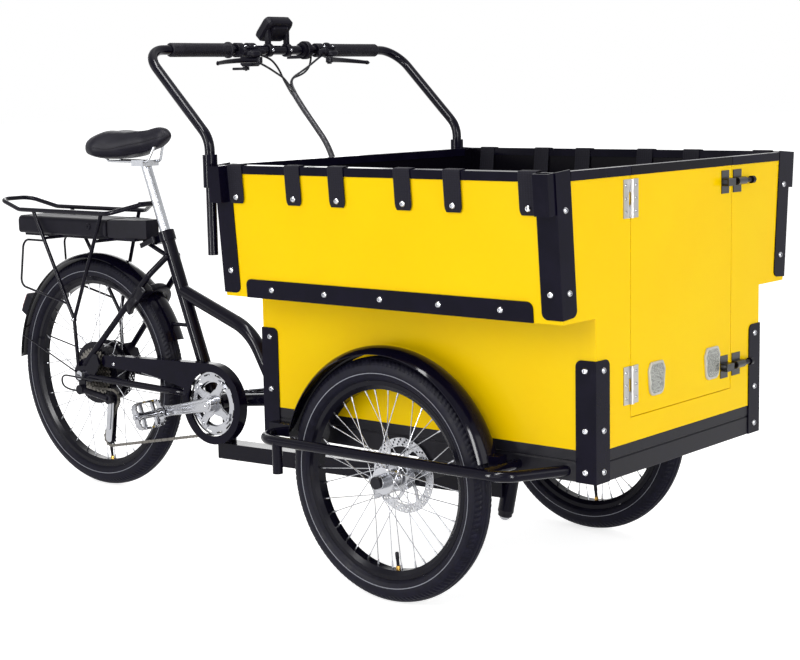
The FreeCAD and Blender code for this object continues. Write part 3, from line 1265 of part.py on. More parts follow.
def saddle():
    """Padded saddle: crowned sections from a wide back to a narrow nose, flat underneath."""
    wires = []
    for share, half, low, high in SADDLE_STATIONS:
        x = SADDLE_REAR + SADDLE_L * share
        brow = high - (high - low) * 0.25
        foot = (V(x, -half * 0.86, low), V(x, half * 0.86, low))
        edge = (V(x, -half * 0.8, brow), V(x, half * 0.8, brow))
        belly = (V(x, -half, (low + brow) / 2), V(x, half, (low + brow) / 2))
        edges = [Part.LineSegment(*foot).toShape()]
        edges.append(Part.Arc(foot[1], belly[1], edge[1]).toShape())
        edges.append(Part.Arc(edge[1], V(x, 0, high), edge[0]).toShape())
        edges.append(Part.Arc(edge[0], belly[0], foot[0]).toShape())
        wires.append(Part.Wire(edges))
    return Part.makeLoft(wires, True, False)


def seat_post(pad):
    """Post in the seat tube, clamp head and two rails under the saddle."""
    top = seat_point((POST_TOP - SEAT_FOOT_Z) / math.cos(LEAN))
    post = rod(seat_point(SEAT_TOP - POST_SUNK), top, POST_R)
    head = block(top.x - 22, top.x + 22, -28, 28, POST_TOP - 12, POST_TOP + 4)
    rails = []
    for side in (1, -1):
        y = side * 22
        route = [V(SADDLE_REAR + 34, y, POST_TOP + 16), V(SADDLE_REAR + 52, y, POST_TOP), V(SADDLE_REAR + 205, y, POST_TOP)]
        route.append(V(SADDLE_REAR + 230, side * 12, POST_TOP + 52))
        rails.append(pipe(route, [14, 14], 3.5))
    whole = fused([post, head] + rails).cut(pad)
    return [max(whole.Solids, key=lambda solid: solid.Volume)]


def handlebar():
    """One bent tube: legs in the sleeves, sloping arms and the bar across."""
    y = SLEEVE_Y
    left = [V(SLEEVE_X, y, LEG_FOOT), V(SLEEVE_X, y, LEG_BEND_Z), V(BAR_X, y, BAR_Z)]
    right = [V(point.x, -point.y, point.z) for point in left]
    return [pipe(left + right[::-1], [BAR_BEND] * 4, BAR_R)]


def bar_sleeve(y0, y1, outer):
    """Ring round the bar."""
    centre = V(BAR_X, 0, BAR_Z)
    return disc(centre, outer, y0, y1).cut(disc(centre, BAR_R, y0, y1))


def handlebar_grips():
    """Rubber grips with an end collar, one each side."""
    grip = fused([bar_sleeve(GRIP_IN, GRIP_OUT, GRIP_R), bar_sleeve(GRIP_IN, GRIP_IN + 6, GRIP_R + 3)])
    return both([grip])


LEVER_PIN_Z = 7.0
THROTTLE_Y = 84.0
SHIFT_Y = -98.0


def lever_place(side):
    """Pivot of a brake lever."""
    return V(BAR_X + LEVER_X, side * LEVER_PIVOT_Y, LEVER_Z)


def bar_controls():
    """Lever housings on clamps, shifter pod, throttle ring, and the display on its two clamps."""
    pieces = []
    bar = disc(V(BAR_X, 0, BAR_Z), BAR_R, -GRIP_IN, GRIP_IN)
    for side in (1, -1):
        y0, y1 = sorted((side * 118, side * 158))
        ring = bar_sleeve(*sorted((side * 126, side * 148)), 17)
        pivot = lever_place(side)
        arm = block(BAR_X + 9, pivot.x + 10, y0, y1, LEVER_Z + LEVER_PIN_Z + SOFT_GAP, LEVER_Z + 22)
        arm = arm.cut(bar)
        pin = rod(pivot + V(0, 0, -LEVER_PIN_Z), pivot + V(0, 0, 15), 3)
        pieces.append(fused([ring, arm, pin]))
    pod = bar_sleeve(SHIFT_Y - 12, SHIFT_Y + 12, 17)
    case = block(BAR_X - 20, BAR_X + 24, SHIFT_Y - 16, SHIFT_Y + 16, BAR_Z - 38, BAR_Z - 12).cut(bar)
    stem = rod(V(BAR_X - 14, SHIFT_Y, BAR_Z - 48), V(BAR_X - 14, SHIFT_Y, BAR_Z - 38), 3)
    pieces.append(fused([pod, case, stem]))
    ring = bar_sleeve(THROTTLE_Y, THROTTLE_Y + 14, 22)
    neck = bar_sleeve(THROTTLE_Y + 14, THROTTLE_Y + 26, 14)
    pieces.append(fused([ring, neck]))
    clamps = [bar_sleeve(y - 7, y + 7, 16) for y in (-36, 27)]
    arms = [block(BAR_X - 6, BAR_X + 6, y - 6, y + 6, BAR_Z + 12, BAR_Z + 44) for y in (-36, 27)]
    screen = block(-31, 31, -47, 39, 0, SCREEN_T)
    screen.rotate(V(0, 0, 0), V(0, 1, 0), -SCREEN_TILT)
    screen.translate(V(BAR_X, 0, BAR_Z + 42))
    pieces.append(fused(clamps + arms + [screen]))
    return pieces


def brake_lever(side):
    """Curved blade in front of the grip, turning on its housing's pin."""
    pivot = lever_place(side)
    half = LEVER_T / 2
    tip = V(pivot.x + 4, side * LEVER_TIP_Y, LEVER_Z)
    knee = V(pivot.x - 8, side * (LEVER_PIVOT_Y + 70), LEVER_Z)
    boss = rod(pivot + V(0, 0, -LEVER_PIN_Z), pivot + V(0, 0, LEVER_PIN_Z), 9)
    blade = pipe([pivot, knee, tip], [120], half)
    blade = fused([boss, blade, Part.makeSphere(half + 2, tip)])
    return [blade.cut(rod(pivot - V(0, 0, 20), pivot + V(0, 0, 20), 3 + FREE_FIT))]


def shift_lever():
    """Thumb paddle under the shifter pod."""
    x = BAR_X - 14
    z1 = BAR_Z - 38 - SOFT_GAP
    boss = rod(V(x, SHIFT_Y, z1 - 8), V(x, SHIFT_Y, z1), 8)
    paddle = block(x - 34, x, SHIFT_Y - 5, SHIFT_Y + 5, z1 - 7, z1 - 2)
    tip = rod(V(x - 34, SHIFT_Y, z1 - 8), V(x - 34, SHIFT_Y, z1 - 1), 8)
    return [fused([boss, paddle, tip]).cut(rod(V(x, SHIFT_Y, z1 - 20), V(x, SHIFT_Y, z1 + 5), 3 + FREE_FIT))]


def throttle_lever():
    """Thumb paddle on a collar round the bar, beside the throttle's ring."""
    y0 = THROTTLE_Y - 9 - SOFT_GAP
    y1 = THROTTLE_Y - SOFT_GAP
    centre = V(BAR_X, 0, BAR_Z)
    collar = disc(centre, 17, y0, y1)
    paddle = block(BAR_X - 46, BAR_X, y0 + 1, y1, BAR_Z - 20, BAR_Z - 12)
    return [fused([collar, paddle]).cut(disc(centre, BAR_R + FREE_FIT, y0, y1))]


def cable_loom(controls):
    """Loom from under the bar to a gland on the rear wall, and the four cables that join in it."""
    top = V(BAR_X + 54, -9, BAR_Z - 102)
    hang = [(152, -12, 116), (106, -18, 72), (60, -25, 28), (30, -30, -30), (23, -32, -94), (22, -33, -156)]
    hang += [(16, -33, -202), (0, -33, -238)]
    route = [top] + [V(BOX_TAIL - back, y, RIM_Z + rise) for back, y, rise in hang]
    loom = cord(route, LOOM_R).cut(block(BOX_TAIL, BOX_NOSE, -LOW_HALF, LOW_HALF, BASE_TOP, RIM_Z))
    back = (top - route[1]).normalize()
    side = V(0, 1, 0)
    up = back.cross(side).normalize()
    x = BAR_X
    z = BAR_Z
    house = LEVER_Z + 14
    starts = [
        [V(x + 38, -118, house), V(x + 46, -84, z - 16), V(x + 38, -44, z - 40)],
        [V(x + 24, SHIFT_Y, z - 28), V(x + 52, SHIFT_Y + 4, z - 40), V(x + 43, SHIFT_Y + 44, z - 55)],
        [V(x + 8, THROTTLE_Y + 20, z - 12.5), V(x + 14, THROTTLE_Y + 12, z - 36), V(x + 26, 56, z - 58)],
        [V(x + 38, 118, house), V(x + 50, 88, z - 18), V(x + 46, 46, z - 44)],
    ]
    places = [(-1, 1), (-1, -1), (1, -1), (1, 1)]
    wires = []
    for start, (across, rise) in zip(starts, places):
        entry = top + side * (across * 3.6) + up * (rise * 3.6)
        wire = cord(start + [entry + back * 40, entry], WIRE_R)
        for control in controls:
            wire = wire.cut(control)
        wires.append(max(wire.Solids, key=lambda solid: solid.Volume))
    return [loom] + wires


def door_panel():
    """Door with its rim cap, on the middle of the front wall."""
    x0 = BOX_NOSE - PANEL
    panel = block(x0, BOX_NOSE, -DOOR_HALF, DOOR_HALF, DOOR_FOOT, RIM_Z)
    return [panel, end_cap(x0, -DOOR_HALF, DOOR_HALF)]


HINGE_Y = -DOOR_HALF - DOOR_GAP
HINGE_X = BOX_NOSE + KNUCKLE_R + KNUCKLE_GAP
LATCH_Y = DOOR_HALF + DOOR_GAP / 2
LATCH_X = BOX_NOSE + LATCH_PLATE_T + LATCH_BARREL_R


def hinge_leaf(z0, fixed):
    """One leaf of a butt hinge: its plate and its share of the three knuckles."""
    third = HINGE_H / 3
    way = -1 if fixed else 1
    notch = 2 * KNUCKLE_R - KNUCKLE_GAP
    y0, y1 = sorted((HINGE_Y + way * notch, HINGE_Y + way * (HINGE_LEAF + KNUCKLE_R)))
    shapes = [block(BOX_NOSE, BOX_NOSE + HINGE_T, y0, y1, z0, z0 + HINGE_H)]
    spans = ((0, third), (2 * third, 3 * third)) if fixed else ((third, 2 * third),)
    for low, high in spans:
        a = z0 + low + (0 if fixed else KNUCKLE_GAP)
        b = z0 + high - (0 if fixed else KNUCKLE_GAP)
        y0, y1 = sorted((HINGE_Y, HINGE_Y + way * notch))
        shapes.append(block(BOX_NOSE + KNUCKLE_GAP, BOX_NOSE + HINGE_T, y0, y1, a, b))
        shapes.append(rod(V(HINGE_X, HINGE_Y, a), V(HINGE_X, HINGE_Y, b), KNUCKLE_R))
    pin = rod(V(HINGE_X, HINGE_Y, z0), V(HINGE_X, HINGE_Y, z0 + HINGE_H), HINGE_PIN_R)
    hole = rod(V(HINGE_X, HINGE_Y, z0), V(HINGE_X, HINGE_Y, z0 + HINGE_H), HINGE_PIN_R + FREE_FIT)
    return fused(shapes + [pin]) if fixed else fused(shapes).cut(hole)


def bolt_case(z, y0, y1):
    """Latch plate with a barrel that a bolt slides in."""
    plate = block(BOX_NOSE, BOX_NOSE + LATCH_PLATE_T, y0, y1, z - LATCH_H / 2, z + LATCH_H / 2)
    barrel = rod(V(LATCH_X, y0, z), V(LATCH_X, y1, z), LATCH_BARREL_R)
    foot = block(BOX_NOSE, LATCH_X, y0, y1, z - LATCH_BARREL_R, z + LATCH_BARREL_R)
    bore = rod(V(LATCH_X, y0, z), V(LATCH_X, y1, z), LATCH_BOLT_R + FREE_FIT)
    return fused([plate, barrel, foot]).cut(bore)


def keeper(z, y0, y1):
    """Latch keeper on the door: a plate, two cheeks and a front strap round the bolt's way."""
    plate_x = BOX_NOSE + LATCH_PLATE_T
    front = LATCH_X + LATCH_BARREL_R
    room = LATCH_BOLT_R + SOFT_GAP
    plate = block(BOX_NOSE, plate_x, y0, y1, z - LATCH_H / 2, z + LATCH_H / 2)
    low = block(plate_x, front, y0, y1, z - LATCH_BARREL_R, z - room)
    high = block(plate_x, front, y0, y1, z + room, z + LATCH_BARREL_R)
    strap_in = block(LATCH_X + room, front, y0, y1, z - room, z + room)
    return [plate, low, high, strap_in]


def jamb_fittings():
    """Fixed hinge leaves with their pins, and the latch bodies beside the door."""
    leaves = [hinge_leaf(z0, True) for z0 in HINGE_PLACES]
    cases = [bolt_case(z, LATCH_Y + 4, LATCH_Y + 38) for z in LATCH_PLACES]
    return leaves + cases


def door_fittings():
    """Hinge leaves and latch keepers on the door."""
    leaves = [hinge_leaf(z0, False) for z0 in HINGE_PLACES]
    for z in LATCH_PLACES:
        leaves += keeper(z, LATCH_Y - 44, LATCH_Y - 14)
    return leaves


def latch_bolt(z):
    """Bolt drawn back in its body, with a knob at its outer end."""
    start = LATCH_Y + 4
    shaft = rod(V(LATCH_X, start, z), V(LATCH_X, start + 68, z), LATCH_BOLT_R)
    knob = rod(V(LATCH_X, start + 60, z), V(LATCH_X, start + 70, z), LATCH_BARREL_R)
    return [fused([shaft, knob])]


def door_reflectors():
    """Shield-shaped reflectors low on the door."""
    pieces = []
    half = REFLECTOR_W / 2
    for place in REFLECTOR_PLACES:
        z0 = REFLECTOR_Z
        z1 = REFLECTOR_Z + REFLECTOR_H
        points = [V(BOX_NOSE, place - half * 0.8, z0), V(BOX_NOSE, place + half * 0.8, z0)]
        points += [V(BOX_NOSE, place + half, z1 - half * 0.5), V(BOX_NOSE, place + half * 0.7, z1)]
        points += [V(BOX_NOSE, place - half * 0.7, z1), V(BOX_NOSE, place - half, z1 - half * 0.5)]
        pieces.append(rounded_face(points, [16, 16, 8, 6, 6, 8]).extrude(V(REFLECTOR_T, 0, 0)))
    return pieces


def main():
    """Builds every piece and writes it under its own name."""
    os.makedirs("parts", exist_ok=True)
    frame = main_frame()
    rails = guard_rails()
    pad = saddle()
    write("main_frame", frame)
    stays = rear_stays(frame)
    write("rear_stays", stays)
    write("headset_cups", headset_cups())
    write("chain_case", chain_case(stays))
    write("chain", chain())
    write("rear_mudguard", rear_mudguard())
    write("rear_rack", rear_rack())
    write("battery_pack", battery_pack())
    write("tail_light", tail_light())
    write("rear_axle", rear_axle())
    write("rear_brake_caliper", rear_brake_caliper(stays))
    write("derailleur", derailleur())
    write("gear_cable", gear_cable(stays))
    write("seat_post", seat_post(pad))
    write("saddle", [pad])
    write("seat_clamp_lever", seat_clamp_lever())
    write("crank_arms", crank_arms())
    write("chainring", chainring())
    write("pedal_right", pedal(CRANK_ANGLE, -1))
    write("pedal_left", pedal(CRANK_ANGLE + 180, 1))
    write("upper_jockey_wheel", jockey(JOCKEY_UP))
    write("lower_jockey_wheel", jockey(JOCKEY_LOW))
    write("cassette", cassette())
    write("rear_tyre", [tyre(REAR_HUB, 0, REAR_BEAD)])
    write("rear_rim", [rim(REAR_HUB, 0, REAR_BEAD)])
    wires = spokes(REAR_HUB, 0, REAR_BEAD, MOTOR_FLANGE_R, MOTOR_FLANGE, math.radians(22))
    write("rear_spokes", wires + [rotor(REAR_HUB, REAR_ROTOR_Y, 17)])
    write("rear_hub_motor", rear_hub_motor())
    for name, shapes in front_wheel_right().items():
        write(name + "_right", shapes)
        write(name + "_left", [mirrored(shape) for shape in shapes])
    write("front_axle", front_axle())
    write("base_frame", base_frame())
    write("floor_and_benches", floor_and_benches())
    write("box_panels", box_panels())
    write("box_trims", corner_trims() + edge_trims())
    write("corner_sockets", corner_sockets())
    write("panel_screws", panel_screws())
    write("harness_straps", harness_straps())
    write("front_fenders", front_fenders(rails))
    write("guard_rails", rails)
    write("front_brake_calipers", front_brake_calipers())
    write("jamb_fittings", jamb_fittings())
    write("handlebar", handlebar())
    write("handlebar_grips", handlebar_grips())
    controls = bar_controls()
    write("bar_controls", controls)
    write("cable_loom", cable_loom(controls))
    write("brake_lever_right", brake_lever(-1))
    write("brake_lever_left", brake_lever(1))
    write("shift_lever", shift_lever())
    write("throttle_lever", throttle_lever())
    write("door_panel", door_panel())
    write("door_fittings", door_fittings())
    write("door_reflectors", door_reflectors())
    write("upper_latch_bolt", latch_bolt(LATCH_PLACES[1]))
    write("lower_latch_bolt", latch_bolt(LATCH_PLACES[0]))


main()
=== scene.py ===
import bmesh
import bpy
import json
import math
import numpy as np
from mathutils import Matrix, Vector


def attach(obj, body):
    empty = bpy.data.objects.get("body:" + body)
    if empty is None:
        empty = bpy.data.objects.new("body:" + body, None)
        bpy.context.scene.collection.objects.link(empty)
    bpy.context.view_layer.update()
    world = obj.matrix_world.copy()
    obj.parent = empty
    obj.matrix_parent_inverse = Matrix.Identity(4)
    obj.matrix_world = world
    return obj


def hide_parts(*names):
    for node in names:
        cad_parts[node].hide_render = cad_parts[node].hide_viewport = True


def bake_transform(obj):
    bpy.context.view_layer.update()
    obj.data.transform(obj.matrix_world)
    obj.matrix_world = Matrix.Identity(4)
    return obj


# A yellow box tricycle with a black frame. Sizes are in millimetres with X 0 at the front axle, and
# place() moves them to the row frame in metres.
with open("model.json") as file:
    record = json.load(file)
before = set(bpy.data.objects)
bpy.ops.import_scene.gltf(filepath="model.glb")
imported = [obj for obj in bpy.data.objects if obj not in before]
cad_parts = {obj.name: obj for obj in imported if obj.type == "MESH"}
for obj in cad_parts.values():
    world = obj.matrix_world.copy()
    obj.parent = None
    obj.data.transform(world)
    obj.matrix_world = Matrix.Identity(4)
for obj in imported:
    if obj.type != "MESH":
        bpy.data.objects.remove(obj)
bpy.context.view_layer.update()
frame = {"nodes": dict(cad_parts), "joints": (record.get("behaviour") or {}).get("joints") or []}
nodes = frame["nodes"]
joints = {joint["name"]: joint for joint in frame["joints"]}
AXLE_X = joints["front_wheel_right_spin"]["pos_m"][0] * 1000


def pivot(name):
    """A joint's place at rest, in millimetres from the front axle."""
    return np.round(np.array(joints[name]["pos_m"]) * 1000 - (AXLE_X, 0, 0), 3)


# Wheel centres and chain wheel centres as (along, up)
FRONT_HUB, REAR_HUB = (pivot(name)[[0, 2]] for name in ("front_wheel_right_spin", "rear_wheel_spin"))
CRANK_HUB = pivot("crank_spin")[[0, 2]]
JOCKEY_UP, JOCKEY_LOW = (pivot(name)[[0, 2]] for name in ("upper_jockey_spin", "lower_jockey_spin"))
HALF_TRACK = pivot("front_wheel_left_spin")[1]
CHAIN_Y, PITCH = pivot("upper_jockey_spin")[1], 12.7
ACROSS, RIGHT, UP, FORWARD = (0, 1, 0), (0, -1, 0), (0, 0, 1), (1, 0, 0)
BOX_NOSE, BOX_TAIL = 476.0, -404.0
STEP_Z, RIM_Z, CAP_H, HALF_PANEL = 622.0, 902.0, 16.0, 7.0
STEP_HALF, RIM_HALF, LOW_HALF = 426.0, 448.0, 318.0
FLARE = math.atan2(RIM_HALF - STEP_HALF, RIM_Z - STEP_Z)
SLOPE = (RIM_Z - STEP_Z) / math.cos(FLARE)


def place(points):
    """Millimetres from the front axle to metres in the row frame."""
    return (np.asarray(points, float) + (AXLE_X, 0, 0)) / 1000


def flared(points):
    """Points (along, out from the face, up the slope) set on the left upper side of the box."""
    points = np.asarray(points, float)
    out = points[..., 1] * math.cos(FLARE) + points[..., 2] * math.sin(FLARE) + STEP_HALF
    up = points[..., 2] * math.cos(FLARE) - points[..., 1] * math.sin(FLARE) + STEP_Z
    return np.stack([points[..., 0], out, up], -1)


# Surfaces as arrays


def full_turn(steps):
    """Angles once round, evenly spaced."""
    return np.linspace(0, 2 * np.pi, steps, endpoint=False)


def cells(rows, cols, ring_rows=False, ring_cols=False):
    """Corner numbers of every cell of a grid of rows by cols, closed on itself where it is a ring."""
    row = np.arange(rows if ring_rows else rows - 1)[:, None]
    col = np.arange(cols if ring_cols else cols - 1)[None, :]
    ahead = (row + 1) % rows * cols
    beside = (col + 1) % cols
    corners = [row * cols + col, row * cols + beside, ahead + beside, ahead + col]
    return np.stack(np.broadcast_arrays(*corners), -1).reshape(-1, 4)


def sheet(grid, ring_rows=False, ring_cols=False):
    """A grid of points as a surface: (points, cells)."""
    rows, cols = grid.shape[:2]
    return grid.reshape(-1, 3), cells(rows, cols, ring_rows, ring_cols)


def join(parts):
    """Several surfaces as one."""
    starts = np.cumsum([0] + [len(points) for points, _ in parts[:-1]])
    points = np.concatenate([points for points, _ in parts])
    return points, np.concatenate([corners + start for (_, corners), start in zip(parts, starts)])


def mirrored(parts):
    """Surfaces reflected in the middle plane, their faces turned to point outwards again."""
    return [(points * (1, -1, 1), corners[:, ::-1]) for points, corners in parts]


def rounded(corners, radii, steps=6):
    """Flat outline on corners, each replaced by an arc tangent to both its sides."""
    corners = np.asarray(corners, float)
    out = []
    for index, radius in enumerate(radii):
        here = corners[index]
        back = corners[index - 1] - here
        ahead = corners[(index + 1) % len(corners)] - here
        back /= np.linalg.norm(back)
        ahead /= np.linalg.norm(ahead)
        half = math.acos(np.clip(back @ ahead, -1, 1)) / 2
        middle = (back + ahead) / np.linalg.norm(back + ahead)
        centre = here + middle * radius / math.sin(half)
        first = here + back * radius / math.tan(half) - centre
        last = here + ahead * radius / math.tan(half) - centre
        share = np.linspace(0, 1, steps)[:, None]
        arc = first * (1 - share) + last * share
        arc *= radius / np.maximum(np.linalg.norm(arc, axis=1, keepdims=True), 1e-9)
        out.append(centre + arc)
    return np.concatenate(out)


def oblong(half, tall, radius, steps):
    """Outline of a rectangle about the origin, given by its half sizes, with an arc at each corner."""
    return rounded([(-half, -tall), (half, -tall), (half, tall), (-half, tall)], [radius] * 4, steps)


def slab(outline, low, high, soft, origin, across, along, out):
    """A plate on a flat outline: rings at both faces drawn in by soft, full rings between, closed at
    both middles. The outline lies on across and along, and the thickness on out."""
    outline = np.asarray(outline, float)
    middle = outline.mean(0)
    reach = np.linalg.norm(outline - middle, axis=1, keepdims=True)
    drawn = middle + (outline - middle) * (1 - soft / np.maximum(reach, soft * 2))
    hub = np.broadcast_to(middle, outline.shape)
    rings = np.stack([hub, drawn, outline, outline, drawn, hub])
    heights = np.array([low, low, low + soft, high - soft, high, high])
    axes = [np.asarray(axis, float) for axis in (across, along, out)]
    grid = rings[..., :1] * axes[0] + rings[..., 1:] * axes[1] + heights[:, None, None] * axes[2]
    return sheet(grid + np.asarray(origin, float), ring_cols=True)


def lathe(profile, steps, centre, axis):
    """A closed profile of (radius, along) turned about the line through centre on axis."""
    profile = np.asarray(profile, float)
    axis = np.asarray(axis, float) / np.linalg.norm(axis)
    side = np.cross(axis, (0.31, 0.2, 0.93))
    side /= np.linalg.norm(side)
    rise = np.cross(axis, side)
    turn = full_turn(steps)[None, :, None]
    ring = np.cos(turn) * side + np.sin(turn) * rise
    grid = profile[:, None, :1] * ring + profile[:, None, 1:] * axis
    return sheet(grid + np.asarray(centre, float), True, True)


def closed_ends(grid):
    """A grid with one more row at each end, drawn in to the middle of the row beside it."""
    ends = [np.broadcast_to(grid[end].mean(0), grid[:1].shape) for end in (0, -1)]
    return np.concatenate([ends[0], grid, ends[1]])


def swept(path, profile, up=UP, ring_path=False):
    """A closed profile of (sideways, upwards) carried along a path: at each point the side is square
    to the path and to up. The ends of an open path are closed."""
    path = np.asarray(path, float)
    profile = np.asarray(profile, float)
    if ring_path:
        ahead = np.roll(path, -1, 0) - np.roll(path, 1, 0)
    else:
        ahead = np.gradient(path, axis=0)
    ahead /= np.linalg.norm(ahead, axis=1, keepdims=True)
    side = np.cross(np.broadcast_to(up, path.shape), ahead)
    side /= np.linalg.norm(side, axis=1, keepdims=True)
    rise = np.cross(ahead, side)
    if profile.ndim == 2:
        profile = np.broadcast_to(profile, (len(path),) + profile.shape)
    grid = path[:, None] + profile[..., :1] * side[:, None] + profile[..., 1:] * rise[:, None]
    return sheet(grid if ring_path else closed_ends(grid), ring_path, True)


def tube(path, radius, steps=10):
    """A round tube along a path: at each point a circle square to the path, its start direction carried
    on from the point before by taking away its part along the path. Its ends are closed."""
    path = np.asarray(path, float)
    ahead = np.gradient(path, axis=0)
    ahead /= np.linalg.norm(ahead, axis=1, keepdims=True)
    side = np.cross(ahead[0], (0.31, 0.2, 0.93))
    sides = []
    for way in ahead:
        side = side - way * (side @ way)
        side = side / np.linalg.norm(side)
        sides.append(side)
    sides = np.array(sides)
    rise = np.cross(ahead, sides)
    turn = full_turn(steps)[None, :, None]
    grid = path[:, None] + radius * (np.cos(turn) * sides[:, None] + np.sin(turn) * rise[:, None])
    return sheet(closed_ends(grid), ring_cols=True)


def spindles(starts, ends, profile, steps=8):
    """Many turned bars at once: each profile row is a radius and a share of the way from start to end."""
    starts = np.asarray(starts, float)
    along = np.asarray(ends, float) - starts
    profile = np.asarray(profile, float)
    unit = along / np.linalg.norm(along, axis=1, keepdims=True)
    side = np.cross(unit, (0.31, 0.2, 0.93))
    side /= np.linalg.norm(side, axis=1, keepdims=True)
    rise = np.cross(unit, side)
    turn = full_turn(steps)[None, :, None]
    ring = np.cos(turn) * side[:, None] + np.sin(turn) * rise[:, None]
    line = starts[:, None] + along[:, None] * profile[None, :, 1:]
    grid = line[:, :, None] + profile[None, :, :1, None] * ring[:, None]
    one = cells(len(profile), steps, ring_cols=True)
    each = np.arange(len(starts))[:, None, None] * len(profile) * steps
    return grid.reshape(-1, 3), (one[None] + each).reshape(-1, 4)


def punched(grid, kept, thick):
    """A plate on a grid that is a ring along its rows: the kept cells on both faces, with a wall along
    each edge between a kept cell and a dropped one. thick is the step from the first face to the second."""
    rows, cols = grid.shape[:2]
    number = np.arange(rows * cols).reshape(rows, cols)
    ahead = np.roll(number, -1, 0)
    near = np.stack([number[:, :-1], number[:, 1:], ahead[:, 1:], ahead[:, :-1]], -1)
    far = rows * cols
    faces = [near[kept], near[kept][:, ::-1] + far]
    blank = np.zeros((rows, 1), bool)
    wide = np.concatenate([blank, kept, blank], 1)
    for first, second in ((wide[:, :-1], wide[:, 1:]), (wide[:, 1:], wide[:, :-1])):
        edge = first & ~second
        a, b = number[edge], ahead[edge]
        faces.append(np.stack([a, b, b + far, a + far], -1))
    back = np.roll(kept, 1, 0)
    for first, second in ((back, kept), (kept, back)):
        edge = first & ~second
        a, b = number[:, :-1][edge], number[:, 1:][edge]
        faces.append(np.stack([a, b, b + far, a + far], -1))
    points = np.concatenate([grid.reshape(-1, 3), grid.reshape(-1, 3) + np.asarray(thick, float)])
    return points, np.concatenate(faces)


def piece(name, parts, body, skin, stands_for=(), sharp=40):
    """A surface, or several, as one named object that rides on a body in a finish."""
    points, corners = join(parts)
    mesh = bpy.data.meshes.new(name)
    mesh.from_pydata(place(points), [], corners.tolist())
    work = bmesh.new()
    work.from_mesh(mesh)
    bmesh.ops.remove_doubles(work, verts=work.verts, dist=1e-6)
    bmesh.ops.dissolve_degenerate(work, edges=work.edges, dist=1e-7)
    bmesh.ops.recalc_face_normals(work, faces=work.faces)
    work.to_mesh(mesh)
    work.free()
    mesh.shade_smooth()
    mesh.set_sharp_from_angle(angle=math.radians(sharp))
    mesh.materials.append(skin)
    made = bpy.data.objects.new(name, mesh)
    bpy.context.scene.collection.objects.link(made)
    if body:
        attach(made, body)
    if stands_for:
        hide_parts(*stands_for)
    return made


def spots_of(made):
    """A mesh's points in millimetres from the front axle."""
    spots = np.empty(len(made.data.vertices) * 3, np.float32)
    made.data.vertices.foreach_get("co", spots)
    return spots.reshape(-1, 3) * 1000 - (AXLE_X, 0, 0)


# Finishes


def colour(text):
    """An sRGB hex value as linear red, green, blue and alpha."""
    parts = np.array([int(text[index:index + 2], 16) for index in (1, 3, 5)]) / 255
    linear = np.where(parts <= 0.04045, parts / 12.92, ((parts + 0.055) / 1.055) ** 2.4)
    return (*linear, 1.0)


def add(tree, kind, inputs=None, **settings):
    """A node with its settings, or one that is there already. An input is a value, an output to link from,
    or a node that stands for its first output."""
    made = tree.nodes.new(kind) if isinstance(kind, str) else kind
    for name, value in settings.items():
        setattr(made, name, value)
    for name, value in (inputs or {}).items():
        if isinstance(value, bpy.types.Node):
            value = value.outputs[0]
        if isinstance(value, bpy.types.NodeSocket):
            tree.links.new(value, made.inputs[name])
        else:
            made.inputs[name].default_value = value
    return made


def finish(name, base, rough, metal=0.0, **sockets):
    """A material with its shader's constants set; returns it, its tree and its shader."""
    made = bpy.data.materials.new(name)
    made.use_nodes = True
    tree = made.node_tree
    shader = tree.nodes["Principled BSDF"]
    shader.inputs["Base Color"].default_value = colour(base)
    shader.inputs["Roughness"].default_value = rough
    shader.inputs["Metallic"].default_value = metal
    for key, value in sockets.items():
        shader.inputs[key.replace("_", " ")].default_value = value
    return made, tree, shader


def enamel(name, base, worn, rough, peel_mm=2.2, depth=0.012, gloss=0.11):
    """Powder coat: smooth and glossy with a slight orange peel and rubbed, duller patches."""
    made, tree, shader = finish(name, base, rough, IOR=1.5, Specular_IOR_Level=gloss)
    where = add(tree, "ShaderNodeTexCoord").outputs["Object"]
    peel = add(tree, "ShaderNodeTexNoise", {"Vector": where, "Scale": 1000 / peel_mm, "Detail": 2})
    patches = add(tree, "ShaderNodeTexNoise", {"Vector": where, "Scale": 1000 / 45, "Detail": 3})
    inputs = {"Value": patches, "From Min": 0.35, "From Max": 0.7}
    inputs |= {"To Min": rough * 0.9, "To Max": rough * 1.2}
    dulled = add(tree, "ShaderNodeMapRange", inputs)
    rubbed = add(tree, "ShaderNodeMapRange", {"Value": patches, "From Min": 0.4, "From Max": 0.75})
    shade = add(tree, "ShaderNodeMix", {0: rubbed, 6: colour(base), 7: colour(worn)}, data_type="RGBA")
    relief = add(tree, "ShaderNodeBump", {"Height": peel, "Distance": depth / 1000, "Strength": 1})
    add(tree, shader, {"Base Color": shade.outputs[2], "Roughness": dulled, "Normal": relief})
    return made


def moulded(name, base, second, rough, gloss, grain_mm=0.9, depth=0.03):
    """Moulded plastic or rubber: a fine cast grain and faint clouding."""
    made, tree, shader = finish(name, base, rough, IOR=1.48, Specular_IOR_Level=gloss)
    where = add(tree, "ShaderNodeTexCoord").outputs["Object"]
    grain = add(tree, "ShaderNodeTexNoise", {"Vector": where, "Scale": 1000 / grain_mm, "Detail": 3})
    cloud = add(tree, "ShaderNodeTexNoise", {"Vector": where, "Scale": 1000 / 28, "Detail": 3})
    faded = add(tree, "ShaderNodeMapRange", {"Value": cloud, "From Min": 0.35, "From Max": 0.7})
    shade = add(tree, "ShaderNodeMix", {0: faded, 6: colour(base), 7: colour(second)}, data_type="RGBA")
    relief = add(tree, "ShaderNodeBump", {"Height": grain, "Distance": depth / 1000, "Strength": 1})
    add(tree, shader, {"Base Color": shade.outputs[2], "Normal": relief})
    return made


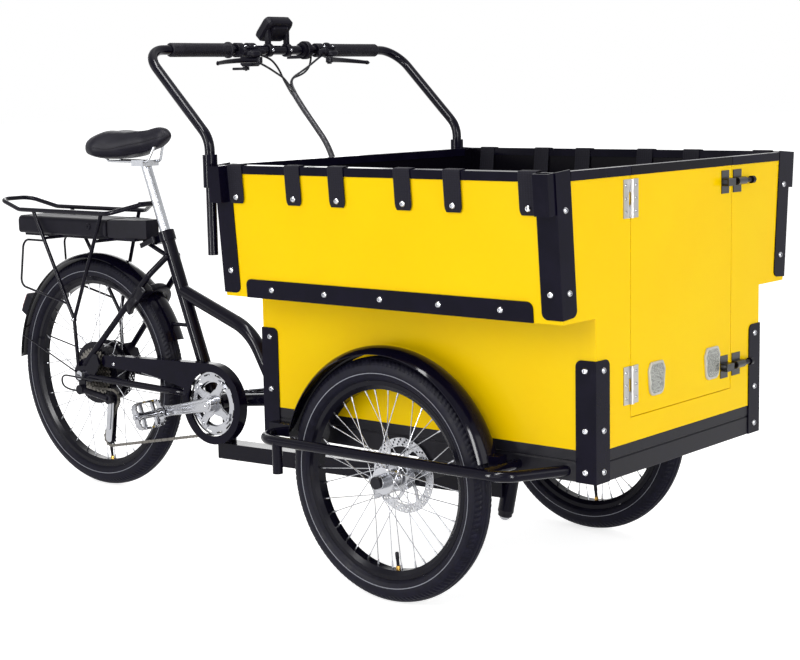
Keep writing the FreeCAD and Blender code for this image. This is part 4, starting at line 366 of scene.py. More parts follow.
def bare_metal(name, base, second, rough, stretch=(1, 1, 1), grain_mm=1.6, depth=0.006):
    """Bare metal: brushed or tumbled streaks that vary its gloss."""
    made, tree, shader = finish(name, base, rough, 1.0)
    where = add(tree, "ShaderNodeTexCoord").outputs["Object"]
    drawn = add(tree, "ShaderNodeMapping", {"Vector": where, "Scale": stretch})
    streaks = add(tree, "ShaderNodeTexNoise", {"Vector": drawn, "Scale": 1000 / grain_mm, "Detail": 3})
    inputs = {"Value": streaks, "From Min": 0.3, "From Max": 0.7}
    inputs |= {"To Min": rough * 0.7, "To Max": rough * 1.4}
    dulled = add(tree, "ShaderNodeMapRange", inputs)
    greyed = add(tree, "ShaderNodeMapRange", {"Value": streaks, "From Min": 0.3, "From Max": 0.75})
    shade = add(tree, "ShaderNodeMix", {0: greyed, 6: colour(base), 7: colour(second)}, data_type="RGBA")
    relief = add(tree, "ShaderNodeBump", {"Height": streaks, "Distance": depth / 1000, "Strength": 1})
    add(tree, shader, {"Base Color": shade.outputs[2], "Roughness": dulled, "Normal": relief})
    return made


# Gloss black powder coat on the steel tubes: deep black with soft bright streaks along the bends
frame_black = enamel("gloss_black_powder_coat", "#0a0817", "#0d0b1b", 0.14, 6.0, 0.0003, 0.1)
# Satin charcoal powder coat on the base frame and front axle: a greyer black that spreads its highlights
beam_grey = enamel("satin_charcoal_powder_coat", "#17161d", "#1f1e26", 0.34, 1.6, 0.02)
# Folded sheet trim in gloss black: smooth and very dark, with narrow clean highlights at its edges
trim_black = enamel("gloss_black_folded_trim", "#0c0a1a", "#100d20", 0.14, 6.0, 0.001, 0.06)
# Black cast alloy of brakes, levers and gear parts: its cast skin breaks the highlights up
cast_black = enamel("satin_black_cast_alloy", "#0c0a16", "#13111e", 0.28, 1.1, 0.03)
# Polished black moulded guard: soft long highlights
guard_black = moulded("gloss_black_moulded_guard", "#0a0817", "#0d0b1b", 0.1, 0.11, 6.0, 0.0008)
# Black anodised rim: smooth, with one soft highlight round it
rim_black = moulded("black_anodised_rim", "#0b0a15", "#11101b", 0.2, 0.11, 3.0, 0.003)
# Glass-filled nylon: matte black with a fine grain
nylon = moulded("matte_black_nylon", "#0c0a16", "#110f1c", 0.48, 0.09)
# Soft grip rubber: dull, with hardly a highlight
grip_rubber = moulded("matte_black_grip_rubber", "#0f0d18", "#15131e", 0.55, 0.14, 1.4, 0.05)
# Dark film-faced board on the floor and benches: a satin sheet with a fine, even grain
board = moulded("dark_film_faced_board", "#100f13", "#17161a", 0.42, 0.15, 1.8, 0.04)
# Saddle cover: black grained vinyl with a soft broad highlight
saddle_vinyl = moulded("black_grained_saddle_vinyl", "#0d0b18", "#13111f", 0.5, 0.13, 1.3, 0.06)
# Cable housing: smooth satin black
cable_skin = moulded("satin_black_cable_housing", "#0d0c16", "#13121d", 0.3, 0.2, 2.0, 0.01)
# Pale moulded edge of the reflector: off-white, with a soft highlight
lens_frame = moulded("pale_reflector_frame", "#c9c8c2", "#b9b8b2", 0.3, 0.3)
# Bright stainless wire and fittings: their gloss varies in short streaks, so that they glint
stainless = bare_metal("bright_stainless", "#b4b5b9", "#8f9095", 0.22, (1, 1, 6), 2.2)
# Polished forged aluminium of the crank, ring, hubs and pedals: smooth and bright, in wide faint patches
forged = bare_metal("polished_forged_aluminium", "#a3a4a8", "#999a9f", 0.2, (1, 1, 1), 30.0, 0.0002)
# Satin anodised tube of the seat post: pale, with long faint streaks from its drawing
silver_tube = bare_metal("satin_silver_tube", "#b2b4b8", "#a2a4aa", 0.24, (1, 1, 0.05), 3.0, 0.0008)
# Oiled chain steel: dark and warm
chain_steel = bare_metal("oiled_chain_steel", "#726f6b", "#57544f", 0.35, (1, 1, 1), 3.0)
# Brass at the foot of the valves: warm and half dull
brass = bare_metal("drawn_brass", "#9c7b3c", "#86672e", 0.3, (1, 1, 1), 2.0)
# Dark display glass: near black and mirror smooth
screen_glass = finish("dark_display_glass", "#0b0f14", 0.06, IOR=1.5)[0]


def panel_finish():
    """Yellow laminate outside, dark film inside and black along the folded rim cap: the inner side is where
    a point lies more than half a panel inside the box's outline, whose sides lean out above the step."""
    made, tree, shader = finish("yellow_laminate_panel", "#ffd300", 0.22, IOR=1.5, Specular_IOR_Level=0.06)
    where = add(tree, "ShaderNodeTexCoord").outputs["Object"]
    x, y, z = add(tree, "ShaderNodeSeparateXYZ", {"Vector": where}).outputs
    tail, nose = place([(BOX_TAIL + HALF_PANEL, 0, 0), (BOX_NOSE - HALF_PANEL, 0, 0)])[:, 0].tolist()
    inputs = {"Value": z, "From Min": STEP_Z / 1000, "From Max": RIM_Z / 1000}
    inputs |= {"To Min": (STEP_HALF - HALF_PANEL) / 1000, "To Max": (RIM_HALF - HALF_PANEL) / 1000}
    upper = add(tree, "ShaderNodeMapRange", inputs)
    low = add(tree, "ShaderNodeMath", {0: z, 1: STEP_Z / 1000 - 0.002}, operation="LESS_THAN")
    inputs = {0: low, 1: (LOW_HALF - STEP_HALF) / 1000, 2: upper}
    reach = add(tree, "ShaderNodeMath", inputs, operation="MULTIPLY_ADD")
    wide = add(tree, "ShaderNodeMath", {0: y}, operation="ABSOLUTE")
    within = add(tree, "ShaderNodeMath", {0: wide, 1: reach}, operation="LESS_THAN")
    before = add(tree, "ShaderNodeMath", {0: x, 1: tail}, operation="GREATER_THAN")
    behind = add(tree, "ShaderNodeMath", {0: x, 1: nose}, operation="LESS_THAN")
    along = add(tree, "ShaderNodeMath", {0: before, 1: behind}, operation="MULTIPLY")
    inside = add(tree, "ShaderNodeMath", {0: within, 1: along}, operation="MULTIPLY")
    cap = add(tree, "ShaderNodeMath", {0: z, 1: (RIM_Z - CAP_H) / 1000}, operation="GREATER_THAN")
    dark = add(tree, "ShaderNodeMath", {0: inside, 1: cap}, operation="MAXIMUM")
    cloud = add(tree, "ShaderNodeTexNoise", {"Vector": where, "Scale": 1000 / 160, "Detail": 2})
    faded = add(tree, "ShaderNodeMapRange", {"Value": cloud, "From Min": 0.3, "From Max": 0.7})
    inputs = {0: faded, 6: colour("#ffd100"), 7: colour("#ffd502")}
    shade = add(tree, "ShaderNodeMix", inputs, data_type="RGBA")
    inputs = {0: dark, 6: shade.outputs[2], 7: colour("#0a0810")}
    skin = add(tree, "ShaderNodeMix", inputs, data_type="RGBA")
    grain = add(tree, "ShaderNodeTexNoise", {"Vector": where, "Scale": 1000 / 1.4, "Detail": 2})
    relief = add(tree, "ShaderNodeBump", {"Height": grain, "Distance": 0.012 / 1000, "Strength": 1})
    add(tree, shader, {"Base Color": skin.outputs[2], "Normal": relief})
    return made


def tyre_finish():
    """Black tyre rubber with a thin grey reflective ring on each side wall, read from the attribute
    that holds the distance from the crown along the section, and scuffed, dusty tread."""
    made, tree, shader = finish("black_tyre_rubber", "#0e0c1a", 0.5, IOR=1.5, Specular_IOR_Level=0.08)
    across = add(tree, "ShaderNodeAttribute", attribute_name="across").outputs["Fac"]
    away = add(tree, "ShaderNodeMath", {0: across}, operation="ABSOLUTE")
    ring = add(tree, "ShaderNodeMath", {0: away, 1: 48.8, 2: 0.9}, operation="COMPARE")
    where = add(tree, "ShaderNodeTexCoord").outputs["Object"]
    scuffs = add(tree, "ShaderNodeTexNoise", {"Vector": where, "Scale": 1000 / 14, "Detail": 4})
    dust = add(tree, "ShaderNodeMapRange", {"Value": scuffs, "From Min": 0.35, "From Max": 0.75})
    inputs = {0: dust, 6: colour("#0b0a17"), 7: colour("#151424")}
    rubber = add(tree, "ShaderNodeMix", inputs, data_type="RGBA")
    inputs = {0: ring, 6: rubber.outputs[2], 7: colour("#8d8f98")}
    skin = add(tree, "ShaderNodeMix", inputs, data_type="RGBA")
    dulled = add(tree, "ShaderNodeMapRange", {"Value": dust, "To Min": 0.42, "To Max": 0.62})
    grain = add(tree, "ShaderNodeTexNoise", {"Vector": where, "Scale": 1000 / 1.2, "Detail": 3})
    relief = add(tree, "ShaderNodeBump", {"Height": grain, "Distance": 0.05 / 1000, "Strength": 1})
    add(tree, shader, {"Base Color": skin.outputs[2], "Roughness": dulled, "Normal": relief})
    return made


# Scale of a wave texture whose bands lie 1 mm apart
BANDS_MM = 100 * math.pi


def webbing_finish():
    """Woven webbing: matte black with ribs both ways, which keep it duller than the trim. They lie further
    apart than real threads, so that they show."""
    made, tree, shader = finish("black_woven_webbing", "#0f0d1a", 0.7,
                                Specular_IOR_Level=0.08, Sheen_Weight=0.05)
    where = add(tree, "ShaderNodeTexCoord").outputs["Object"]
    ribs = []
    for way, apart in (("Z", 4.343), ("X", 5.922)):
        inputs = {"Vector": where, "Scale": BANDS_MM / apart, "Distortion": 0.4}
        ribs.append(add(tree, "ShaderNodeTexWave", inputs, bands_direction=way).outputs["Fac"])
    weave = add(tree, "ShaderNodeMath", {0: ribs[0], 1: ribs[1]}, operation="MULTIPLY")
    inputs = {0: weave, 6: colour("#0d0b18"), 7: colour("#1b1927")}
    shade = add(tree, "ShaderNodeMix", inputs, data_type="RGBA")
    relief = add(tree, "ShaderNodeBump", {"Height": weave, "Distance": 0.25 / 1000, "Strength": 1})
    add(tree, shader, {"Base Color": shade.outputs[2], "Normal": relief})
    return made


def loom_finish():
    """Grey spiral wrap round the loom: satin, in bands that each catch a small highlight."""
    made, tree, shader = finish("grey_spiral_cable_wrap", "#25242b", 0.4, IOR=1.48, Specular_IOR_Level=0.2)
    where = add(tree, "ShaderNodeTexCoord").outputs["Object"]
    cloud = add(tree, "ShaderNodeTexNoise", {"Vector": where, "Scale": 1000 / 28, "Detail": 3})
    faded = add(tree, "ShaderNodeMapRange", {"Value": cloud, "From Min": 0.35, "From Max": 0.7})
    inputs = {0: faded, 6: colour("#25242b"), 7: colour("#2f2e36")}
    shade = add(tree, "ShaderNodeMix", inputs, data_type="RGBA")
    inputs = {"Vector": where, "Scale": BANDS_MM / 13.817, "Distortion": 0.5}
    turns = add(tree, "ShaderNodeTexWave", inputs, bands_direction="Z").outputs["Fac"]
    relief = add(tree, "ShaderNodeBump", {"Height": turns, "Distance": 0.6 / 1000, "Strength": 1})
    add(tree, shader, {"Base Color": shade.outputs[2], "Normal": relief})
    return made


def lamp_finish():
    """Clear red lens of the tail lamp: glossy, and ribbed so that its highlights break up in rows."""
    made, tree, shader = finish("clear_red_lens", "#8f0d10", 0.12, IOR=1.49, Coat_Weight=0.3)
    where = add(tree, "ShaderNodeTexCoord").outputs["Object"]
    inputs = {"Vector": where, "Scale": BANDS_MM / 7.895}
    rows = add(tree, "ShaderNodeTexWave", inputs, bands_direction="Z").outputs["Fac"]
    relief = add(tree, "ShaderNodeBump", {"Height": rows, "Distance": 0.3 / 1000, "Strength": 1})
    add(tree, shader, {"Normal": relief})
    return made


def reflector_finish():
    """Clear prismatic reflector: pale and bright, in small prism cells with a raised relief; each cell is
    painted pale at its middle and darker to its edge, a painted glint that stands in for the prisms' sparkle.
    """
    made, tree, shader = finish("clear_prismatic_reflector", "#a5a69f", 0.18, 0.6)
    where = add(tree, "ShaderNodeTexCoord").outputs["Object"]
    prism_relief_and_glint = add(tree, "ShaderNodeTexVoronoi", {"Vector": where, "Scale": 1000 / 3.2}, distance="CHEBYCHEV")
    # Painted glint: the cell distance that gives the relief also paints each cell pale at its middle and
    # darker to its edge
    faded = add(tree, "ShaderNodeMapRange", {"Value": prism_relief_and_glint, "From Max": 0.6})
    inputs = {0: faded, 6: colour("#c3c4bd"), 7: colour("#6f716c")}
    shade = add(tree, "ShaderNodeMix", inputs, data_type="RGBA")
    relief = add(tree, "ShaderNodeBump", {"Height": prism_relief_and_glint, "Distance": 0.9 / 1000, "Strength": 1})
    add(tree, shader, {"Base Color": shade.outputs[2], "Normal": relief})
    return made


def fittings_finish():
    """Bright stainless hinges on the right, black painted latches on the left: split where Y is 0."""
    made, tree, shader = finish("stainless_hinge_black_latch", "#0b0b0d", 0.3)
    where = add(tree, "ShaderNodeTexCoord").outputs["Object"]
    split = add(tree, "ShaderNodeSeparateXYZ", {"Vector": where}).outputs["Y"]
    right = add(tree, "ShaderNodeMath", {0: split, 1: 0}, operation="LESS_THAN")
    inputs = {0: right, 6: colour("#08070c"), 7: colour("#a9a8a8")}
    shade = add(tree, "ShaderNodeMix", inputs, data_type="RGBA")
    grain = add(tree, "ShaderNodeTexNoise", {"Vector": where, "Scale": 1000 / 1.2, "Detail": 2})
    relief = add(tree, "ShaderNodeBump", {"Height": grain, "Distance": 0.01 / 1000, "Strength": 1})
    add(tree, shader, {"Base Color": shade.outputs[2], "Metallic": right, "Normal": relief})
    return made


yellow = panel_finish()
tyre_rubber = tyre_finish()
webbing = webbing_finish()
loom_wrap = loom_finish()
red_lens = lamp_finish()
lens_clear = reflector_finish()
hinge_latch = fittings_finish()

# The CAD nodes that each finish goes on
wear = {
    frame_black: "rear_stays rear_rack guard_rails handlebar main_frame",
    beam_grey: "base_frame front_axle headset_cups",
    trim_black: "box_trims corner_sockets chain_case",
    guard_black: "front_fenders rear_mudguard",
    rim_black: "rear_rim front_rim_right front_rim_left rear_hub_motor",
    stainless: "rear_spokes front_spokes_right front_spokes_left panel_screws rear_axle door_reflectors",
    forged: "front_hub_right front_hub_left crank_arms chainring pedal_right pedal_left front_brake_calipers",
    silver_tube: "seat_post",
    chain_steel: "chain cassette",
    cast_black: "derailleur rear_brake_caliper brake_lever_right brake_lever_left seat_clamp_lever "
                "upper_latch_bolt lower_latch_bolt",
    hinge_latch: "jamb_fittings door_fittings",
    nylon: "battery_pack bar_controls shift_lever throttle_lever tail_light",
    grip_rubber: "handlebar_grips cable_loom gear_cable saddle harness_straps",
    yellow: "box_panels door_panel",
    board: "floor_and_benches",
    tyre_rubber: "rear_tyre front_tyre_right front_tyre_left",
}
for skin, names in wear.items():
    for name in names.split():
        nodes[name].data.materials.clear()
        nodes[name].data.materials.append(skin)

# Broken edges on the folded, cast and boarded pieces catch the light; widths in millimetres
EASED = {
    "box_trims": 0.9, "base_frame": 1.2, "box_panels": 0.5, "door_panel": 0.5, "floor_and_benches": 0.8,
    "crank_arms": 2.0, "front_brake_calipers": 1.5, "rear_brake_caliper": 1.5, "bar_controls": 1.2,
    "jamb_fittings": 0.6, "door_fittings": 0.6, "derailleur": 0.8, "battery_pack": 1.5, "tail_light": 2.0,
    "chain_case": 1.4,
}
for name, width in EASED.items():
    weld = nodes[name].modifiers.new("weld", "WELD")
    weld.merge_threshold = 0.00002
    edge = nodes[name].modifiers.new("eased_edges", "BEVEL")
    edge.width = width / 1000
    edge.segments = 2
    edge.limit_method = "ANGLE"
    edge.angle_limit = math.radians(50)
    nodes[name].modifiers.new("flat_faces", "WEIGHTED_NORMAL").keep_sharp = True


# Wheels

TYRE_R, RIM_LIP, ROTOR_R, SPOKES = 27.5, 6.0, 80.0, 36
FRONT_BEAD, REAR_BEAD = 406, 507
VALVE_TURN = math.radians(-84)


def around(hub, y, turn, reach):
    """Points at angles and distances round a wheel's axle, at one place across."""
    x = hub[0] + reach * np.cos(turn)
    z = hub[1] + reach * np.sin(turn)
    return np.stack(np.broadcast_arrays(x, np.asarray(y, float), z), -1)


def tyre(name, hub, mid, bead, sipes, body):
    """Tyre: an arc section about a ring, cut where it meets the rim and turned round the hub. Two grooves
    each side of the crown and slanting sipes on both shoulders lie 1.5 lower, the side walls 0.5."""
    ring = bead / 2 + TYRE_R
    limit = math.acos((RIM_LIP - TYRE_R) / TYRE_R)
    turn = full_turn(sipes * 5)[:, None]
    bow = np.linspace(-limit, limit, 79)[None, :]
    wide = np.abs(bow) * TYRE_R
    groove = np.exp(-((wide - 5.5) / 1.3) ** 4) + np.exp(-((wide - 15) / 1.3) ** 4)
    sipe = np.clip(np.sin(turn * sipes + wide * 0.25) * 3 - 1.2, 0, 1) * (wide > 16.5) * (wide < 31)
    wall = np.clip((wide - 32) / 2, 0, 1)
    bead_ring = np.exp(-((wide - 60) / 2.5) ** 2)
    reach = TYRE_R - 1.5 * np.maximum(groove, sipe) - 0.5 * wall + 0.5 * bead_ring
    grid = around(hub, mid + reach * np.sin(bow), turn, ring + reach * np.cos(bow))
    shape = [sheet(grid, True, True)]
    made = piece(name, shape, body, tyre_rubber, [name.replace("_tread", "")], 60)
    spots = spots_of(made)
    out = np.hypot(spots[:, 0] - hub[0], spots[:, 2] - hub[1]) - ring
    away = np.arctan2(spots[:, 1] - mid, out) * TYRE_R
    made.data.attributes.new("across", "FLOAT", "POINT").data.foreach_set("value", away.astype(np.float32))


def laced(hub, mid, bead, flange_r, flange_y, sweep):
    """Crossed spokes from the hub's two flanges to the rim, each thickening to its nipple."""
    index = np.arange(SPOKES)
    side = np.where(index % 2, 1, -1)
    lead = np.where(index // 2 % 2, 1, -1)
    angle = 2 * np.pi * index / SPOKES
    foot = around(hub, mid + side * flange_y + lead * 1.25, angle - lead * sweep, flange_r)
    head = around(hub, mid + side * 3.5 + lead * 1.25, angle, bead / 2 - 13.4)
    shape = [(0, -0.01), (1.6, -0.01), (1.0, 0.05), (1.0, 0.925)]
    shape += [(1.9, 0.93), (2.2, 0.985), (2.2, 1.004), (0, 1.004)]
    return spindles(foot, head, shape)


def valve(hub, mid, bead):
    """Valve stem with its cap, low on the rim."""
    ends = around(hub, mid, VALVE_TURN, np.array([bead / 2 - 12, bead / 2 - 50]))
    shape = [(0, 0.2), (3.4, 0.2), (3.6, 0.6), (4.2, 0.62), (4.2, 0.94), (3.0, 1), (0, 1)]
    return spindles(ends[:1], ends[1:], shape, 12)


def valve_foot(hub, mid, bead):
    """Brass nut at the valve's foot."""
    ends = around(hub, mid, VALVE_TURN, np.array([bead / 2 - 12, bead / 2 - 21]))
    return spindles(ends[:1], ends[1:], [(0, 0), (5, 0), (5, 0.8), (4.2, 1), (0, 1)], 6)


def rotor(hub, y, bore):
    """Brake disc: an outer band with three rows of round holes, six swirled arms and an inner ring."""
    steps = 288
    turn = full_turn(steps)[:, None]
    reach = np.linspace(bore, ROTOR_R, 42)[None, :]
    angle = turn + np.pi / steps
    out = (reach[:, :-1] + reach[:, 1:]) / 2
    pitch = 2 * np.pi / 30
    drilled = np.zeros((steps, out.shape[1]), bool)
    for row, ring in enumerate((66.0, 71.0, 76.0)):
        local = (angle + row * pitch / 3) % pitch - pitch / 2
        drilled |= (local * ring) ** 2 + (out - ring) ** 2 < 2.3 ** 2
    arm = np.abs(((angle + (out - 30) * 0.013) % (np.pi / 3) - np.pi / 6) * out) < 4.6
    kept = ((out > 61.5) & ~drilled) | arm | (out < 31)
    return punched(around(hub, y, turn, reach), kept, (0, 2, 0))


def front_hub(mid):
    """Hub shell turned from its outer end to the rotor's boss, on the right wheel."""
    shape = [(10.3, -38), (14.2, -38), (15, -37.2), (15, -22), (28.4, -22), (29, -21.4), (29, -19)]
    shape += [(28.4, -18.5), (19, -18.5), (17, -16), (16, 0), (17, 16), (19, 18.5), (28.4, 18.5), (29, 19)]
    shape += [(29, 21.4), (28.4, 22), (23, 22), (23, 44), (17, 44), (17, 46), (10.3, 46)]
    return lathe(np.array(shape) + (0, mid), 48, (FRONT_HUB[0], 0, FRONT_HUB[1]), ACROSS)


def wheels():
    """Tyres, spokes, hubs and rotors of the three wheels."""
    right = -HALF_TRACK
    for name, mid in (("right", right), ("left", HALF_TRACK)):
        body = "front_wheel_" + name
        wires = laced(FRONT_HUB, right, FRONT_BEAD, 29.4, 20.25, math.radians(55))
        tyre("front_tyre_%s_tread" % name, FRONT_HUB, mid, FRONT_BEAD, 135, body)
        parts = {
            "spokes": ([wires], "stainless", stainless),
            "hub": ([front_hub(right)], "alloy", forged),
            "rotor": ([rotor(FRONT_HUB, right + 44, 17)], "stainless", stainless),
            "valve": ([valve(FRONT_HUB, right, FRONT_BEAD)], "rubber_black", grip_rubber),
            "valve_foot": ([valve_foot(FRONT_HUB, right, FRONT_BEAD)], "alloy", brass),
        }
        for key, (shapes, slot, skin) in parts.items():
            shapes = shapes if name == "right" else mirrored(shapes)
            stands = ["front_%s_%s" % (key, name)] if key in ("spokes", "hub") else ()
            piece("front_%s_%s_made" % (key, name), shapes, body, skin, stands)
    tyre("rear_tyre_tread", REAR_HUB, 0, REAR_BEAD, 160, "rear_wheel")
    wires = [laced(REAR_HUB, 0, REAR_BEAD, 84.4, 21, math.radians(22)), rotor(REAR_HUB, 44, 17)]
    piece("rear_spokes_made", wires, "rear_wheel", stainless, ["rear_spokes"])
    piece("rear_valve", [valve(REAR_HUB, 0, REAR_BEAD)], "rear_wheel", grip_rubber)
    piece("rear_valve_foot", [valve_foot(REAR_HUB, 0, REAR_BEAD)], "rear_wheel", brass)


wheels()


# Drive

CRANK_R, CRANK_ANGLE, PEDAL_TILT = 165.0, 192, 70.0
RING_TEETH, JOCKEY_TEETH, COG_TEETH = 38, 11, 18


def pitch_radius(teeth):
    """Radius of a chain wheel's pitch circle."""
    return PITCH / (2 * math.sin(math.pi / teeth))


def tooth_tips(teeth, turn):
    """Edge of a chain wheel, one flat-topped wave to a tooth, between 6 and 2 inside its pitch circle."""
    return pitch_radius(teeth) - 6 + 4 * np.clip(0.5 + 1.2 * np.sin(teeth * turn), 0, 1)


def chain_line():
    """Pin places along the chain, one pitch apart: arcs on its four wheels and lines that touch two."""
    small = pitch_radius(JOCKEY_TEETH)
    around_wheels = [(*CRANK_HUB, pitch_radius(RING_TEETH), -1), (*JOCKEY_LOW, small, -1)]
    around_wheels += [(*JOCKEY_UP, small, 1), (*REAR_HUB, pitch_radius(COG_TEETH), -1)]
    headings = []
    for index, (x, z, radius, turn) in enumerate(around_wheels):
        x2, z2, radius2, turn2 = around_wheels[(index + 1) % 4]
        length = math.hypot(x2 - x, z2 - z)
        aim = math.atan2(z2 - z, x2 - x)
        headings.append(aim - math.asin((turn2 * radius2 - turn * radius) / length))
    runs = []
    for index, (x, z, radius, turn) in enumerate(around_wheels):
        bend = (headings[index] - headings[index - 1]) * turn % (2 * math.pi) * turn
        angle = headings[index - 1] + np.linspace(0, bend, 60)
        runs.append(np.stack([x + turn * radius * np.sin(angle), z - turn * radius * np.cos(angle)], 1))
    line = np.concatenate(runs + [runs[0][:1]])
    far = np.concatenate([[0], np.cumsum(np.linalg.norm(np.diff(line, axis=0), axis=1))])
    marks = np.linspace(0, far[-1], round(far[-1] / PITCH), endpoint=False)
    return np.stack([np.interp(marks, far, line[:, axis]) for axis in (0, 1)], 1)


def chain():
    """Links along the chain line: waisted plates in pairs, inner and outer by turns, on their pins."""
    pins = chain_line()
    turn = np.linspace(-np.pi / 2, np.pi / 2, 7)
    end = np.stack([PITCH / 2 + 4 * np.cos(turn), 4 * np.sin(turn)], 1)
    outline = np.concatenate([end, [(0, 2.7)], -end, [(0, -2.7)]])
    parts = []
    for index, (start, stop) in enumerate(zip(pins, np.roll(pins, -1, 0))):
        way = (stop - start) / np.linalg.norm(stop - start)
        middle = (start + stop) / 2
        low = 1.3 if index % 2 else 2.25
        for side in (1, -1):
            spot = (middle[0], CHAIN_Y, middle[1])
            across = (-way[1], 0, way[0])
            parts.append(slab(outline, low, low + 0.85, 0.2, spot, (way[0], 0, way[1]), across, (0, side, 0)))
    places = np.stack([pins[:, 0], np.full(len(pins), CHAIN_Y), pins[:, 1]], 1)
    pin = [(0, 0), (1.7, 0), (1.7, 1), (0, 1)]
    parts.append(spindles(places - (0, 3.5, 0), places + (0, 3.5, 0), pin, 6))
    return parts


def chain_wheels():
    """Toothed ring, slotted guard ring outside it and a four-armed spider with its bolts."""
    steps = 8 * RING_TEETH
    turn = full_turn(steps)[:, None]
    angle = turn + np.pi / steps
    tip = tooth_tips(RING_TEETH, turn)
    share = np.linspace(0, 1, 10)[None, :]
    edge = around(CRANK_HUB, -48, turn, 54 + (tip - 54) * share)
    ring = punched(edge, np.ones((steps, 9), bool), (0, 2, 0))
    reach = np.linspace(58, 80.5, 16)[None, :]
    out = (reach[:, :-1] + reach[:, 1:]) / 2
    slot = (np.abs(out - 73.5) < 2.2) & (np.abs(angle * 12 / np.pi % 2 - 1) < 0.55)
    guard = punched(around(CRANK_HUB, -54, turn, reach), ~slot, (0, 2.2, 0))
    reach = np.linspace(15, 66, 36)[None, :]
    out = (reach[:, :-1] + reach[:, 1:]) / 2
    lean = (angle - math.radians(CRANK_ANGLE + 45)) % (np.pi / 2)
    lean = np.minimum(lean, np.pi / 2 - lean) * out
    kept = (lean < 9.5 + np.maximum(0, 40 - out) * 0.7) | (out < 25) | ((out > 60) & (lean < 15))
    spider = punched(around(CRANK_HUB, -58, turn, reach), kept, (0, 4, 0))
    spots = around(CRANK_HUB, -60, np.radians(CRANK_ANGLE + 45 + 90 * np.arange(4)), 64.0)
    shape = [(0, 0.3), (2.6, 0.3), (2.6, 0), (4.6, 0), (5.4, 0.2), (5.4, 1), (0, 1)]
    bolts = spindles(spots, spots + (0, 4, 0), shape, 12)
    return [ring, guard, spider, bolts]


def jockey_wheel(spot):
    """Guide wheel: a disc with eleven low teeth, which end below the chain's pins, on a round hub."""
    steps = 12 * JOCKEY_TEETH
    turn = full_turn(steps)[:, None]
    tip = tooth_tips(JOCKEY_TEETH, turn)
    share = np.linspace(0, 1, 5)[None, :]
    edge = around(spot, CHAIN_Y - 1, turn, 7 + (tip - 7) * share)
    rim = punched(edge, np.ones((steps, 4), bool), (0, 2, 0))
    shape = np.array([(3.1, -3), (8, -3), (8, 3), (3.1, 3)]) + (0, CHAIN_Y)
    return [rim, lathe(shape, 24, (spot[0], 0, spot[1]), ACROSS)]


def pedal(angle, out):
    """Cage pedal: a rounded ring whose top and bottom edges rise in teeth, a waisted barrel and two ribs."""
    turn, tilt = math.radians(angle), math.radians(PEDAL_TILT)
    tip = np.array([CRANK_HUB[0] + CRANK_R * math.cos(turn), 0, CRANK_HUB[1] + CRANK_R * math.sin(turn)])
    along = np.array((math.cos(tilt), 0, -math.sin(tilt)))
    up = np.array((math.sin(tilt), 0, math.cos(tilt)))
    mid = out * 127.0
    outline = oblong(33, 42, 16, 12)
    steps = np.linspace(0, 1, 8, endpoint=False)[None, :, None]
    ring = (outline[:, None] * (1 - steps) + np.roll(outline, -1, 0)[:, None] * steps).reshape(-1, 2)
    length = np.concatenate([[0], np.cumsum(np.linalg.norm(np.diff(ring, axis=0), axis=1))])
    tall = 7.5 + 2.5 * np.clip(2 * np.sin(length / 9 * 2 * np.pi), 0, 1)
    flat = np.array([(-2.5, -1), (2.5, -1), (2.5, 1), (-2.5, 1)])
    profile = np.repeat(flat[None], len(ring), 0)
    profile[..., 1] *= tall[:, None]
    path = tip + ring[:, :1] * along + (mid + ring[:, 1:]) * np.array(ACROSS)
    cage = swept(path, profile, up, ring_path=True)
    shape = [(6.4, -41), (12, -41), (12, -34), (9, -26), (9, 26), (12, 34), (12, 41), (6.4, 41)]
    barrel = lathe(np.array(shape) + (0, mid), 24, (tip[0], 0, tip[2]), ACROSS)
    rib = oblong(33, 3, 1.5, 3)
    spots = [tip + (0, mid + side * 20, 0) for side in (1, -1)]
    return [cage, barrel] + [slab(rib, -5, 5, 1, spot, along, ACROSS, up) for spot in spots]


def crank_arm(angle, out):
    """Forged crank arm: an oval section that narrows from the axle to the pedal's eye, and a round cap."""
    turn = math.radians(angle)
    share = np.linspace(0, 1, 30)[:, None]
    way = np.array((math.cos(turn), 0, math.sin(turn)))
    path = np.array((CRANK_HUB[0], out * 72.6, CRANK_HUB[1])) + way * (share * (CRANK_R + 26) - 13)
    wave = full_turn(24)[None]
    broad = 19 - 6 * np.sin(share * np.pi / 2) + 3 * np.exp(-((share - 0.93) / 0.06) ** 2)
    close = np.sqrt(np.clip(1 - np.abs(2 * share - 1) ** 14, 0.0004, 1))
    sides = [close * 7.4 * np.sign(np.cos(wave)) * np.abs(np.cos(wave)) ** 0.6, close * broad * np.sin(wave)]
    arm = swept(path, np.stack(sides, -1), np.cross(way, ACROSS))
    spot = np.array([(CRANK_HUB[0], out * 79.0, CRANK_HUB[1])])
    shape = [(0, 0.6), (4, 0.6), (5, 1), (10, 1), (11.5, 0.5), (11.5, 0)]
    cap = spindles(spot, spot + (0, out * 3, 0), shape, 24)
    return [arm, cap]


def capsule(start, stop, radius, low, high, y):
    """A plate with round ends from one point to another in a wheel's plane."""
    start, stop = np.asarray(start, float), np.asarray(stop, float)
    way = (stop - start) / np.linalg.norm(stop - start)
    half = np.linalg.norm(stop - start) / 2
    turn = np.linspace(-np.pi / 2, np.pi / 2, 12)
    end = np.stack([half + radius * np.cos(turn), radius * np.sin(turn)], 1)
    middle = (start + stop) / 2
    spot = (middle[0], y, middle[1])
    outline = np.concatenate([end, -end])
    return slab(outline, low, high, 0.5, spot, (way[0], 0, way[1]), (-way[1], 0, way[0]), RIGHT)


